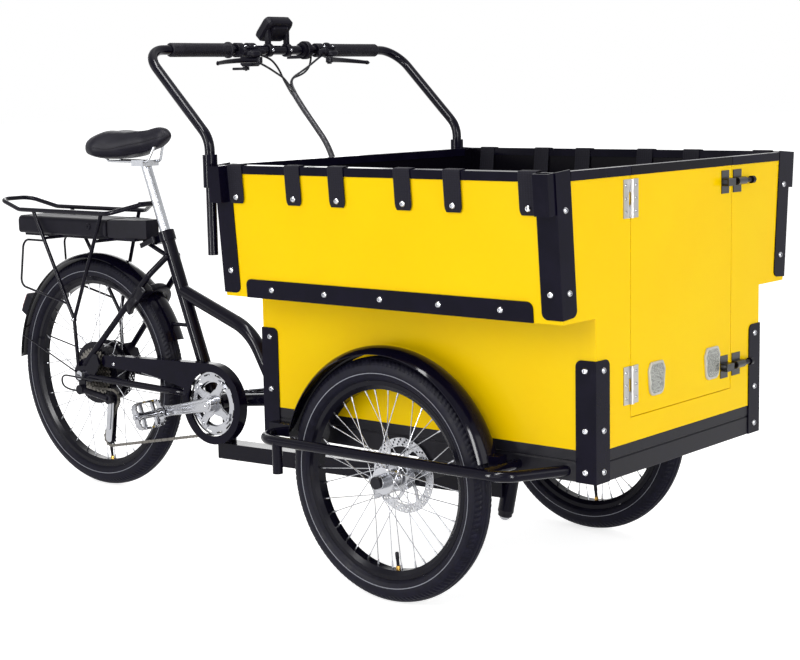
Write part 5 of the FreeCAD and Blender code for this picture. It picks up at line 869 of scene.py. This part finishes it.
piece("chain_links", chain(), "rear_frame", chain_steel, ["chain"])
piece("chain_wheels", chain_wheels(), "crankset", forged, ["chainring"])
for name, spot in (("upper_jockey", JOCKEY_UP), ("lower_jockey", JOCKEY_LOW)):
    piece(name + "_made", jockey_wheel(spot), name, nylon, [name + "_wheel"])
arms = crank_arm(CRANK_ANGLE, -1) + crank_arm(CRANK_ANGLE - 180, 1)
piece("crank_shells", arms, "crankset", forged)
piece("pedal_right_cage", pedal(CRANK_ANGLE, -1), "right_pedal", forged, ["pedal_right"])
piece("pedal_left_cage", pedal(CRANK_ANGLE - 180, 1), "left_pedal", forged, ["pedal_left"])
cage = [capsule(JOCKEY_UP, JOCKEY_LOW, 12, 0, 1.6, -54.2), capsule(JOCKEY_UP, (-1252, 170), 5, 1.4, 4, -54.2)]
piece("cage_plate", cage, "rear_frame", forged)


# Box fittings

STRAPS = BOX_TAIL + 60.5 + 759 * np.array((0.0, 0.218, 0.376, 0.604, 0.767, 1.0))
STRAP_W, STRAP_T, STRAP_DROP, STRAP_INNER = 42.0, 1.8, 78.0, 215.0
HINGE_Y, REFLECTORS_Y, REFLECTORS_Z = -196.5, (-102.96, 116.0), 444
TRIM_T, SCREW_IN = 2.5, 22.5


def head_screws(spots, ways, radius=6.6, rise=3.8):
    """Domed screw heads with a sunk socket, standing on faces."""
    shape = [(0, 0.35), (0.42, 0.35), (0.46, 1.0), (0.66, 1.0), (0.92, 0.6), (1, 0.2), (1, -0.1)]
    shape = np.array(shape) * (radius, 1)
    spots = np.asarray(spots, float)
    return spindles(spots, spots + np.asarray(ways, float) * rise, shape, 12)


def box_screws():
    """Screw heads on the corner angles, the side strips and the straps, left side first."""
    spots, ways = [], []
    lean_out = np.array((0, math.cos(FLARE), -math.sin(FLARE)))
    for nose, out in ((BOX_NOSE, 1), (BOX_TAIL, -1)):
        for rise in (0.2, 0.75):
            spots.append(flared((nose + out * TRIM_T, -SCREW_IN, SLOPE * rise)))
            ways.append((out, 0, 0))
        spots.append(flared((nose - out * SCREW_IN, TRIM_T, SLOPE * 0.2)))
        ways.append(lean_out)
        for high in (322, 403, 520):
            spots.append((nose - out * SCREW_IN, LOW_HALF + TRIM_T, high))
            spots.append((nose + out * TRIM_T, LOW_HALF - SCREW_IN, high))
            ways += [ACROSS, (out, 0, 0)]
    for index in range(5):
        spots.append(flared((BOX_TAIL + 65 + 750 * (index + 0.5) / 5, 3, 20)))
        ways.append(lean_out)
    for spot in STRAPS:
        spots.append(flared((spot, 5.2, SLOPE - 65)))
        ways.append(lean_out)
    left = [head_screws(spots, ways)]
    return left + mirrored(left)


def strap(spot):
    """Webbing folded over the left rim at spot: a flat rounded section carried up the outside, over the
    top in two small arcs and down the inside, where it hangs a little loose."""
    arc = np.linspace(0, np.pi / 2, 6)
    down = np.linspace(0, 1, 14)[:, None]
    first = np.array((3.8, SLOPE - STRAP_DROP)) * (1 - down) + np.array((3.8, SLOPE + 0.3)) * down
    over = np.stack([0.8 + 3 * np.cos(arc), SLOPE + 0.3 + 3 * np.sin(arc)], 1)
    back = np.stack([-12.3 - 3 * np.sin(arc), SLOPE + 0.3 + 3 * np.cos(arc)], 1)
    last = np.array((-15.3, SLOPE + 0.3)) * (1 - down) + np.array((-15.3, SLOPE - STRAP_INNER)) * down
    last[:, 0] -= 3.5 * np.sin(np.pi * down[:, 0]) ** 2
    line = np.concatenate([first[:-1], over, back, last[1:]])
    ahead = np.gradient(line, axis=0)
    ahead /= np.linalg.norm(ahead, axis=1, keepdims=True)
    normal = np.stack([ahead[:, 1], -ahead[:, 0]], 1)
    section = oblong(STRAP_W / 2, STRAP_T / 2, 0.85, 4)
    wide = np.broadcast_to(section[None, :, :1], (len(line), len(section), 1)).copy()
    wide[:2] *= np.array((0.8, 0.95))[:, None, None]
    off = line[:, None] + section[None, :, 1:] * normal[:, None]
    grid = flared(np.concatenate([wide + spot, off], -1))
    length = np.linalg.norm(np.diff(line, axis=0), axis=1).sum()
    return sheet(closed_ends(grid), ring_cols=True), length / 1000


def straps():
    """Six straps along each side."""
    for index, spot in enumerate(STRAPS):
        shape, length = strap(spot)
        for side, parts in (("left", [shape]), ("right", mirrored([shape]))):
            name = "strap_%s_%d" % (side, index + 1)
            made = piece(name, parts, "cargo_module", webbing, ["harness_straps"], 50)


def reflector(y):
    """Shield-shaped lens in a thin raised frame, low on the door."""
    corners = [(-25, 0), (25, 0), (31, 52), (22, 68), (-22, 68), (-31, 52)]
    outline = rounded(corners, [15, 15, 8, 6, 6, 8], 8)
    spot = (BOX_NOSE, y, REFLECTORS_Z)
    edge = slab(outline, 0, 4.2, 0.8, spot, ACROSS, UP, FORWARD)
    middle = np.array((0, 34))
    return edge, slab((outline - middle) * 0.86 + middle, 4, 5, 0.5, spot, ACROSS, UP, FORWARD)


piece("screw_heads", box_screws(), "cargo_module", stainless, ["panel_screws"])
straps()
shields = [reflector(y) for y in REFLECTORS_Y]
edges = [edge for edge, _ in shields]
piece("reflector_frames", edges, "door", lens_frame, ["door_reflectors"])
piece("reflector_lenses", [lens for _, lens in shields], "door", lens_clear)
heights = [foot + rise for foot in (440, 804) for rise in (12, 37.5, 63)]
hinge_spots = np.array([(BOX_NOSE + 2, HINGE_Y + side * 18, z) for side in (1, -1) for z in heights])
door_side = hinge_spots[:, 1] > HINGE_Y
for body, chosen in (("door", door_side), ("cargo_module", ~door_side)):
    spots = hinge_spots[chosen]
    heads = head_screws(spots, np.tile((1.0, 0, 0), (len(spots), 1)), 3.4, 1.2)
    piece("hinge_screws_" + body, [heads], body, forged)


# Seat

# Share of the saddle's length, half width, foot and crown
STATIONS = np.array([(0, 52, 908, 930), (0.07, 86, 890, 952), (0.25, 100, 886, 958), (0.48, 70, 894, 954),
                     (0.7, 36, 910, 958), (0.92, 25, 926, 970), (1, 15, 938, 962)], float)
SADDLE_TAIL, SADDLE_LENGTH, SWELL = -1300, 272, 5


def saddle():
    """Saddle pad before its cover fills: sections whose half width, foot and crown run smoothly through
    seven stations, rounded off at both ends; each is a soft oval, flatter below, furrowed along the top."""
    share = (1 - np.cos(np.linspace(0, np.pi, 61))) / 2
    fine = np.linspace(-0.2, 1.2, 281)
    blur = np.exp(-(np.linspace(-1, 1, 25) / 0.5) ** 2)
    kept = [np.interp(share, fine, np.convolve(np.interp(fine, STATIONS[:, 0], STATIONS[:, column]),
                                               blur / blur.sum(), "same")) for column in (1, 2, 3)]
    half, low, high = [values[:, None] for values in kept]
    close = np.sqrt(np.clip(1 - np.abs(2 * share - 1) ** 9, 0, 1))[:, None]
    turn = full_turn(56)[None, :]
    wide = (half - 2) * close * np.sign(np.cos(turn)) * np.abs(np.cos(turn)) ** 0.75
    middle = low + (high - low) * 0.42
    top = (high - 2 - middle) * np.abs(np.sin(turn)) ** 0.9
    foot = (middle - low - 1) * np.abs(np.sin(turn)) ** 0.6
    rise = middle + np.where(np.sin(turn) > 0, top, -foot) * close
    furrow = np.exp(-(wide / 9) ** 2) * np.exp(-((share[:, None] - 0.42) / 0.26) ** 4)
    rise -= 3.5 * furrow * (np.sin(turn) > 0)
    x = np.broadcast_to(SADDLE_TAIL + SADDLE_LENGTH * share[:, None], wide.shape)
    return np.stack([x, wide, rise], -1)


def filled(made, most_mm):
    """Lets the cover swell as cloth under pressure for 20 frames; no point moves more than most_mm."""
    scene = bpy.context.scene
    start = spots_of(made)
    cloth = made.modifiers.new("filling", "CLOTH")
    cloth.settings.quality = 6
    cloth.settings.use_pressure = True
    cloth.settings.uniform_pressure_force = 4
    cloth.settings.effector_weights.gravity = 0
    cloth.point_cache.frame_start, cloth.point_cache.frame_end = 1, 20
    for frame_number in range(1, 21):
        scene.frame_set(frame_number)
    swollen = made.evaluated_get(bpy.context.evaluated_depsgraph_get())
    moved = spots_of(swollen) - start
    made.modifiers.remove(cloth)
    scene.frame_set(1)
    far = np.linalg.norm(moved, axis=1, keepdims=True)
    spots = start + moved * np.minimum(1, most_mm / np.maximum(far, 0.001))
    made.data.vertices.foreach_set("co", place(spots).astype(np.float32).ravel())
    made.data.update()


def seat():
    """Saddle cover, swollen a little over its pad, with a piped seam along its widest line."""
    shape = [sheet(saddle(), ring_cols=True)]
    made = piece("saddle_cover", shape, "seat", saddle_vinyl, ["saddle"], 70)
    filled(made, SWELL)
    smooth = made.modifiers.new("smooth", "SUBSURF")
    smooth.levels = smooth.render_levels = 1
    spots = spots_of(made)
    marks = np.linspace(spots[:, 0].min() + 6, spots[:, 0].max() - 6, 48)
    near = [spots[np.abs(spots[:, 0] - mark) < 4] for mark in marks]
    left = np.array([some[some[:, 1].argmax()] for some in near])
    even = np.ones(7) / 7
    left = np.stack([np.convolve(np.pad(column, 3, "edge"), even, "valid") for column in left.T], 1)
    left[:, 1] += 0.4
    ring = np.concatenate([left, left[::-1] * (1, -1, 1), left[:1]])
    piece("saddle_piping", [tube(ring, 1.5, 8)], "seat", grip_rubber)


seat()


# Bar, cables and small parts

BAR = np.array((-638.0, 0.0, 1152.0))
LEVER = np.array((-586.0, -122.0, 1128.0))
SCREEN_TILT, SCREEN_T = math.radians(48), 24.0


def grip():
    """Right grip: a sleeve with shallow rings along it, a collar inside and a rounded outer end."""
    along = np.linspace(174, 348, 120)
    rings = np.stack([15.4 + 0.55 * np.cos(along / 5.8 * 2 * np.pi), -along], 1)
    shape = [(11.3, -166), (18.4, -166), (19, -167), (19, -171), (18.4, -172), (16, -173)] + rings.tolist()
    shape += [(15.2, -350), (14, -351), (11.3, -351)]
    return lathe(shape, 32, BAR, ACROSS)


def routed(route):
    """Points along one smooth spline whose control points are the route."""
    line = bpy.data.curves.new("route", "CURVE")
    line.dimensions = "3D"
    line.resolution_u = 16
    spline = line.splines.new("NURBS")
    spline.points.add(len(route) - 1)
    for point, spot in zip(spline.points, place(route)):
        point.co = (*spot, 1)
    spline.order_u = 3
    spline.use_endpoint_u = True
    holder = bpy.data.objects.new("route", line)
    bpy.context.scene.collection.objects.link(holder)
    bpy.context.view_layer.update()
    mesh = bpy.data.meshes.new_from_object(holder)
    spots = np.array([tuple(corner.co) for corner in mesh.vertices])
    bpy.data.objects.remove(holder)
    bpy.data.meshes.remove(mesh)
    bpy.data.curves.remove(line)
    return spots


def cable(name, route, radius, body, stands_for=(), blend=None, skin=cable_skin):
    """A cord along its route, as a round tube."""
    spots = routed(route)
    shape = tube(spots * 1000 - (AXLE_X, 0, 0), radius, 12)
    made = piece(name, [shape], body, skin, stands_for, 60)
    if blend:
        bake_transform(made)


def cables():
    """Loom from the gland on the rear wall up to the bar, four cables that spread from it, and the gear
    cable's loop behind the dropout."""
    x, z = BAR[0], BAR[2]
    top = np.array((-584.0, -9, 1050))
    loom = [(-404, -33, 664), (-420, -33, 700), (-426, -33, 746), (-427, -32, 808), (-434, -30, 872)]
    loom += [(-464, -25, 930), (-510, -18, 974), (-556, -12, 1018), tuple(top)]
    ends = [tuple(place(spot)) for spot in (top, loom[2])]
    blend = ("handlebar_assembly", "cargo_module", *ends)
    cable("loom", loom, 7, None, ["cable_loom"], blend, loom_wrap)
    back = top - np.array(loom[-2])
    back /= np.linalg.norm(back)
    up = np.cross(back, ACROSS)
    up /= np.linalg.norm(up)
    starts = {
        "brake_hose_right": [(x + 38, -118, 1142), (x + 46, -84, z - 16), (x + 38, -44, z - 40)],
        "shift_cable": [(x + 24, -98, z - 28), (x + 52, -94, z - 40), (x + 43, -54, z - 55)],
        "throttle_lead": [(x + 8, 104, z - 12.5), (x + 14, 96, z - 36), (x + 26, 56, z - 58)],
        "brake_hose_left": [(x + 38, 118, 1142), (x + 50, 88, z - 18), (x + 46, 46, z - 44)],
    }
    for (name, start), (across, rise) in zip(starts.items(), ((-1, 1), (-1, -1), (1, -1), (1, 1))):
        entry = top + np.array((0, 3.6 * across, 0)) + up * 3.6 * rise
        cable(name, start + [tuple(entry + back * 40), tuple(entry)], 2.5, "handlebar_assembly")
    x, z, out = REAR_HUB[0], REAR_HUB[1], -73.5
    loop = [(x + 84, out - 1.5, z - 9), (x + 46, out - 15, z - 6), (x - 8, out - 20, z - 2)]
    loop += [(x - 62, out - 20, z - 1), (x - 62, out - 14, z - 43), (x - 9.5, out - 8, z - 42)]
    cable("gear_cable_loop", loop, 2.5, "rear_frame", ["gear_cable"])


grips = [grip()]
grips += mirrored(grips)
piece("grips", grips, "handlebar_assembly", grip_rubber, ["handlebar_grips"])
cables()


def bar_ring(low, high, outer):
    """Ring round the bar with eased edges."""
    shape = [(11.3, low), (outer - 1.5, low), (outer, low + 1.5)]
    shape += [(outer, high - 1.5), (outer - 1.5, high), (11.3, high)]
    return lathe(shape, 32, BAR, ACROSS)


def brake_housing():
    """Right lever housing: clamp ring, a rounded arm over the pivot, a fluid cylinder and its lid."""
    corners = [(BAR[0] + 9, -158), (-578, -152), (-576, -116), (BAR[0] + 9, -120)]
    arm = slab(rounded(corners, [5, 14, 12, 5], 6), 1135.4, 1149, 3, (0, 0, 0), FORWARD, ACROSS, UP)
    start, stop = np.array((-592.0, -96, 1147)), np.array((-603.0, -160, 1147))
    shape = [(0, 0), (5, 0), (6.5, 0.04), (6.5, 0.2), (10.5, 0.26), (11, 0.3), (11, 0.9), (9, 0.98), (0, 1)]
    cylinder = spindles([start], [stop], shape, 20)
    lid = oblong(11, 19, 5, 5)
    cap = slab(lid, 1154, 1160, 1.5, (-599, -135, 0), FORWARD, ACROSS, UP)
    shape = [(0, 0), (5, 0), (6, 0.06), (6, 0.16), (3, 0.17), (3, 1)]
    pin = spindles([LEVER + (0, 0, -10)], [LEVER + (0, 0, 8)], shape, 14)
    return [bar_ring(-148, -126, 17), arm, cylinder, cap, pin]


def brake_lever():
    """Right brake lever: a flat oval blade that bows back and hooks forward at its tip, thick at its boss."""
    share = np.linspace(0, 1, 44)
    bow = [-10 * np.sin(np.pi * share) + 6 * share ** 3, -4 - 138 * share, -8 * share ** 2]
    path = LEVER + np.stack(bow, 1)
    size = (1 - 0.35 * share + 0.3 * np.exp(-((share - 0.96) / 0.03) ** 2)) * np.sqrt(1 - 0.96 * share ** 24)
    turn = full_turn(16)
    oval = np.stack([4.4 * np.cos(turn), 6.6 * np.sin(turn)], 1)
    blade = swept(path, oval[None] * size[:, None, None])
    shape = [(3.3, -6.9), (8.2, -6.9), (9, -6), (9, 6), (8.2, 6.9), (3.3, 6.9)]
    return [blade, lathe(shape, 24, LEVER, UP)]


def shifter():
    """Shifter pod under the bar: ring, rounded case and the paddle's stem."""
    corners = rounded([(-22, -16), (24, -16), (24, 16), (-22, 16)], [9] * 4, 6)
    case = slab(corners, 1114, 1141, 5, (BAR[0], -98, 0), FORWARD, ACROSS, UP)
    stem = spindles([(-652, -98, 1104)], [(-652, -98, 1115)], [(0, 0), (3, 0), (3, 1), (0, 1)], 12)
    return [bar_ring(-110, -86, 17), case, stem]


def paddle():
    """Thumb paddle below the pod: a round boss, a tapering blade and a round pad."""
    foot = np.array((-652.0, -98, 1109.7))
    boss = lathe([(3.3, -4), (7.2, -4), (8, -3.2), (8, 3.2), (7.2, 4), (3.3, 4)], 20, foot, UP)
    outline = rounded([(-42, -7), (-26, -8), (-6, -4), (-6, 4), (-26, 8), (-42, 7)], [6, 6, 1, 1, 6, 6], 5)
    return [boss, slab(outline, -3.5, 2.5, 1.5, foot, FORWARD, ACROSS, UP)]


def screen():
    """Display: a rounded case with a raised back, tilted to the rider on two clamped arms; glass and keys."""
    along = np.array((math.cos(SCREEN_TILT), 0, math.sin(SCREEN_TILT)))
    out = np.array((-math.sin(SCREEN_TILT), 0, math.cos(SCREEN_TILT)))
    spot = BAR + (0, -4, 42)
    face = spot + out * SCREEN_T
    outline = oblong(31, 43, 13, 8)
    case = [slab(outline, 0, SCREEN_T, 4.5, spot, along, ACROSS, out)]
    case.append(slab(outline * 0.62, -7, 4, 4, spot, along, ACROSS, out))
    pane = oblong(24, 30, 5, 6)
    glass = slab(pane, -1, 1, 0.4, face, along, ACROSS, out)
    keys = np.array([face + along * step + np.array((0, 36, 0)) for step in (-14, 0, 14)])
    pads = spindles(keys - out, keys + out * 2, [(0, 0), (4, 0), (4, 0.8), (3.2, 1), (0, 1)], 14)
    post = oblong(6, 6, 2, 4)
    arms = [slab(post, 1164, 1202, 1, (BAR[0], y, 0), FORWARD, ACROSS, UP) for y in (-36, 27)]
    return [glass], case + arms + [pads, bar_ring(-43, -29, 16), bar_ring(20, 34, 16)]


glass, stand = screen()
housing = brake_housing()
throttle_rings = [bar_ring(84, 98, 22), bar_ring(97, 110, 14)]
controls = housing + mirrored(housing) + shifter() + throttle_rings + stand
piece("controls", controls, "handlebar_assembly", nylon, ["bar_controls"])
piece("display_glass", glass, "handlebar_assembly", screen_glass)
blade = brake_lever()
for side, shapes in (("right", blade), ("left", mirrored(blade))):
    body = side + "_brake_lever"
    piece("lever_blade_" + side, shapes, body, cast_black, ["brake_lever_" + side])
piece("shift_paddle", paddle(), "gear_lever", nylon, ["shift_lever"])
bolt_spots = [BAR + (16.5, y, 0) for y in (-137, 137, -98, -36, 27)]
bolt_ways = [FORWARD] * 5 + [UP] * 4
bolt_spots += [np.array((-599.0, y, 1159.7)) for y in (-150, -120, 120, 150)]
piece("control_bolts", [head_screws(bolt_spots, bolt_ways, 3.6, 2.2)], "handlebar_assembly", forged)
frame_spots = [(REAR_HUB[0] - 12, side * 86, REAR_HUB[1] + 150) for side in (-1, 1)] + [(-1216, -62, 346)]
frame_ways = [RIGHT, ACROSS, RIGHT]
piece("frame_bolts", [head_screws(frame_spots, frame_ways, 5, 3)], "rear_frame", forged)


def radial(angle):
    """Directions out from the rear axle and along its circle at an angle in degrees."""
    turn = math.radians(angle)
    return np.array((math.cos(turn), 0, math.sin(turn))), np.array((-math.sin(turn), 0, math.cos(turn)))


def tail_lens():
    """Red lens on the back of the lamp, drawn in at its edge."""
    out, up = radial(150)
    spot = np.array((REAR_HUB[0], 0, REAR_HUB[1])) + out * 347.5
    outline = oblong(18, 25, 7, 6)
    return slab(outline, 0, 3.5, 1.2, spot, ACROSS, up, out)


def ring_lock():
    """Frame lock: a horseshoe with a rounded square section round the tyre, and its key case on one side."""
    out, up = radial(46)
    middle = np.array((REAR_HUB[0], 0, REAR_HUB[1])) + out * 281
    turn = np.radians(np.linspace(-28, 208, 48))[:, None]
    path = middle + 57 * (np.cos(turn) * np.array(ACROSS) + np.sin(turn) * out)
    bar = swept(path, oblong(8, 11, 4, 4), up)
    outline = oblong(17, 24, 9, 6)
    case = slab(outline, -13, 13, 2, middle + np.array((0, -44, 0)) + out * 42, ACROSS, out, up)
    return [bar, case]


def battery_trim():
    """Raised seam round the battery's case and a round lock on its right side."""
    x, half, low, high = -1230.0, 57.6, 679.6, 728.6
    ring = rounded([(-half, low), (half, low), (half, high), (-half, high)], [10, 10, 14, 14], 8)
    path = np.column_stack([np.full(len(ring), x), ring])
    seam = swept(path, [(-0.6, -2), (0.6, -2), (0.6, 2), (-0.6, 2)], FORWARD, ring_path=True)
    spots = np.array([(-1300.0, -56.5, 708)])
    lock = spindles(spots, spots + (0, -3, 0), [(0, 0.4), (3, 0.4), (3, 1), (8, 1), (9, 0.6), (9, 0)], 24)
    return [seam, lock]


piece("tail_lens", [tail_lens()], "rear_frame", red_lens)
piece("ring_lock", ring_lock(), "rear_frame", cast_black)
piece("battery_trim", battery_trim(), "rear_frame", nylon)
RAKE = math.radians(12)
head_way = np.array((math.sin(RAKE), 0, math.cos(RAKE)))
foot = pivot("steering_pivot") - head_way * 62
nut = spindles([foot], [foot + head_way * 9], [(0, 0), (9, 0), (11, 0.2), (11, 1), (0, 1)], 6)
piece("kingpin_nut", [nut], "cargo_module", forged)


# Stage, light and camera


def seen_ray(tree):
    """1 for rays that show the background: straight from the camera, mirrored or through glass."""
    ray = add(tree, "ShaderNodeLightPath").outputs
    inputs = {0: ray["Is Camera Ray"], 1: ray["Is Transmission Ray"]}
    straight = add(tree, "ShaderNodeMath", inputs, operation="MAXIMUM")
    return add(tree, "ShaderNodeMath", {0: straight, 1: ray["Is Glossy Ray"]}, operation="MAXIMUM")


FLOOR_REACH, FLOOR_LIFT, SKY = 40.0, 0.72, 0.5
# Lamps, all turned to one point: place, width and height in metres, power in watts
LAMPS_AIM = Vector((0.2, 0, 0.5))
LAMPS = (
    ("key", (1.4, -4.2, 2.6), 2.2, 2.2, 47), ("front", (4.6, -0.4, 1.6), 2.0, 2.0, 47),
    ("top", (0.2, 0.2, 4.4), 3.4, 3.4, 30), ("side_fill", (-3.4, -3.2, 1.6), 1.6, 1.6, 14),
    ("rear_fill", (-3.6, 2.8, 2.0), 2.2, 2.2, 34), ("low_fill", (0.7, -3.8, 0.4), 2.6, 0.6, 15),
    ("side_strip", (-0.8, -4.2, 1.3), 0.5, 2.8, 240), ("nose_strip", (4.0, -2.4, 1.4), 0.4, 2.8, 190),
    ("top_strip", (0.4, -1.6, 4.2), 0.5, 3.6, 280),
)
# Camera: its place, its yaw, pitch and roll in degrees, and its focal length in the photograph's pixels
EYE_SPOT, EYE_TURN = (2280.8, -3032.1, 1072.9), (39.921, 8.175, -1.087)
SENSOR, FOCAL_PX, PHOTO_PX, SHIFT = 36, 1732, 800, -0.008


def studio():
    """White seamless floor that keeps the shadow, a soft world, large soft lamps and three strips that are
    seen in gloss alone, for the long highlights. The camera stands about where the photograph was taken."""
    scene = bpy.context.scene
    scene.view_settings.view_transform = "Standard"
    mesh = bpy.data.meshes.new("studio_floor")
    corners = [(x * FLOOR_REACH, y * FLOOR_REACH, 0) for x, y in ((-1, -1), (1, -1), (1, 1), (-1, 1))]
    mesh.from_pydata(corners, [], [(0, 1, 2, 3)])
    floor = bpy.data.objects.new("studio_floor", mesh)
    scene.collection.objects.link(floor)
    made, tree, shader = finish("white_seamless_floor", "#f4f4f4", 0.9, Emission_Color=(1, 1, 1, 1))
    lift = add(tree, "ShaderNodeMath", {0: seen_ray(tree), 1: FLOOR_LIFT}, operation="MULTIPLY")
    add(tree, shader, {"Emission Strength": lift})
    mesh.materials.append(made)
    world = bpy.data.worlds.new("studio")
    scene.world = world
    world.use_nodes = True
    tree = world.node_tree
    strength = add(tree, "ShaderNodeMapRange", {"Value": seen_ray(tree), "To Min": SKY, "To Max": 1})
    add(tree, tree.nodes["Background"], {"Color": (1, 1, 1, 1), "Strength": strength})
    for name, spot, wide, tall, power in LAMPS:
        light = bpy.data.lights.new(name, "AREA")
        light.shape = "RECTANGLE"
        light.size = wide
        light.size_y = tall
        light.energy = power
        lamp = bpy.data.objects.new(name, light)
        lamp.location = spot
        lamp.visible_diffuse = not name.endswith("strip")
        lamp.rotation_euler = (LAMPS_AIM - Vector(spot)).to_track_quat("-Z", "Y").to_euler()
        scene.collection.objects.link(lamp)
    lens = bpy.data.cameras.new("photo_camera")
    lens.sensor_width = SENSOR
    lens.lens = SENSOR * FOCAL_PX / PHOTO_PX
    lens.shift_x = SHIFT
    eye = bpy.data.objects.new("photo_camera", lens)
    scene.collection.objects.link(eye)
    yaw, pitch, roll = (math.radians(angle) for angle in EYE_TURN)
    back = np.array([math.sin(yaw) * math.cos(pitch), -math.cos(yaw) * math.cos(pitch), math.sin(pitch)])
    right = np.array([math.cos(yaw), math.sin(yaw), 0])
    up = np.cross(back, right)
    turned = math.cos(roll) * right + math.sin(roll) * up
    upright = math.cos(roll) * up - math.sin(roll) * right
    spot = place(EYE_SPOT)
    eye.matrix_world = Matrix([[turned[i], upright[i], back[i], spot[i]] for i in range(3)] + [[0, 0, 0, 1]])
    scene.camera = eye


studio()
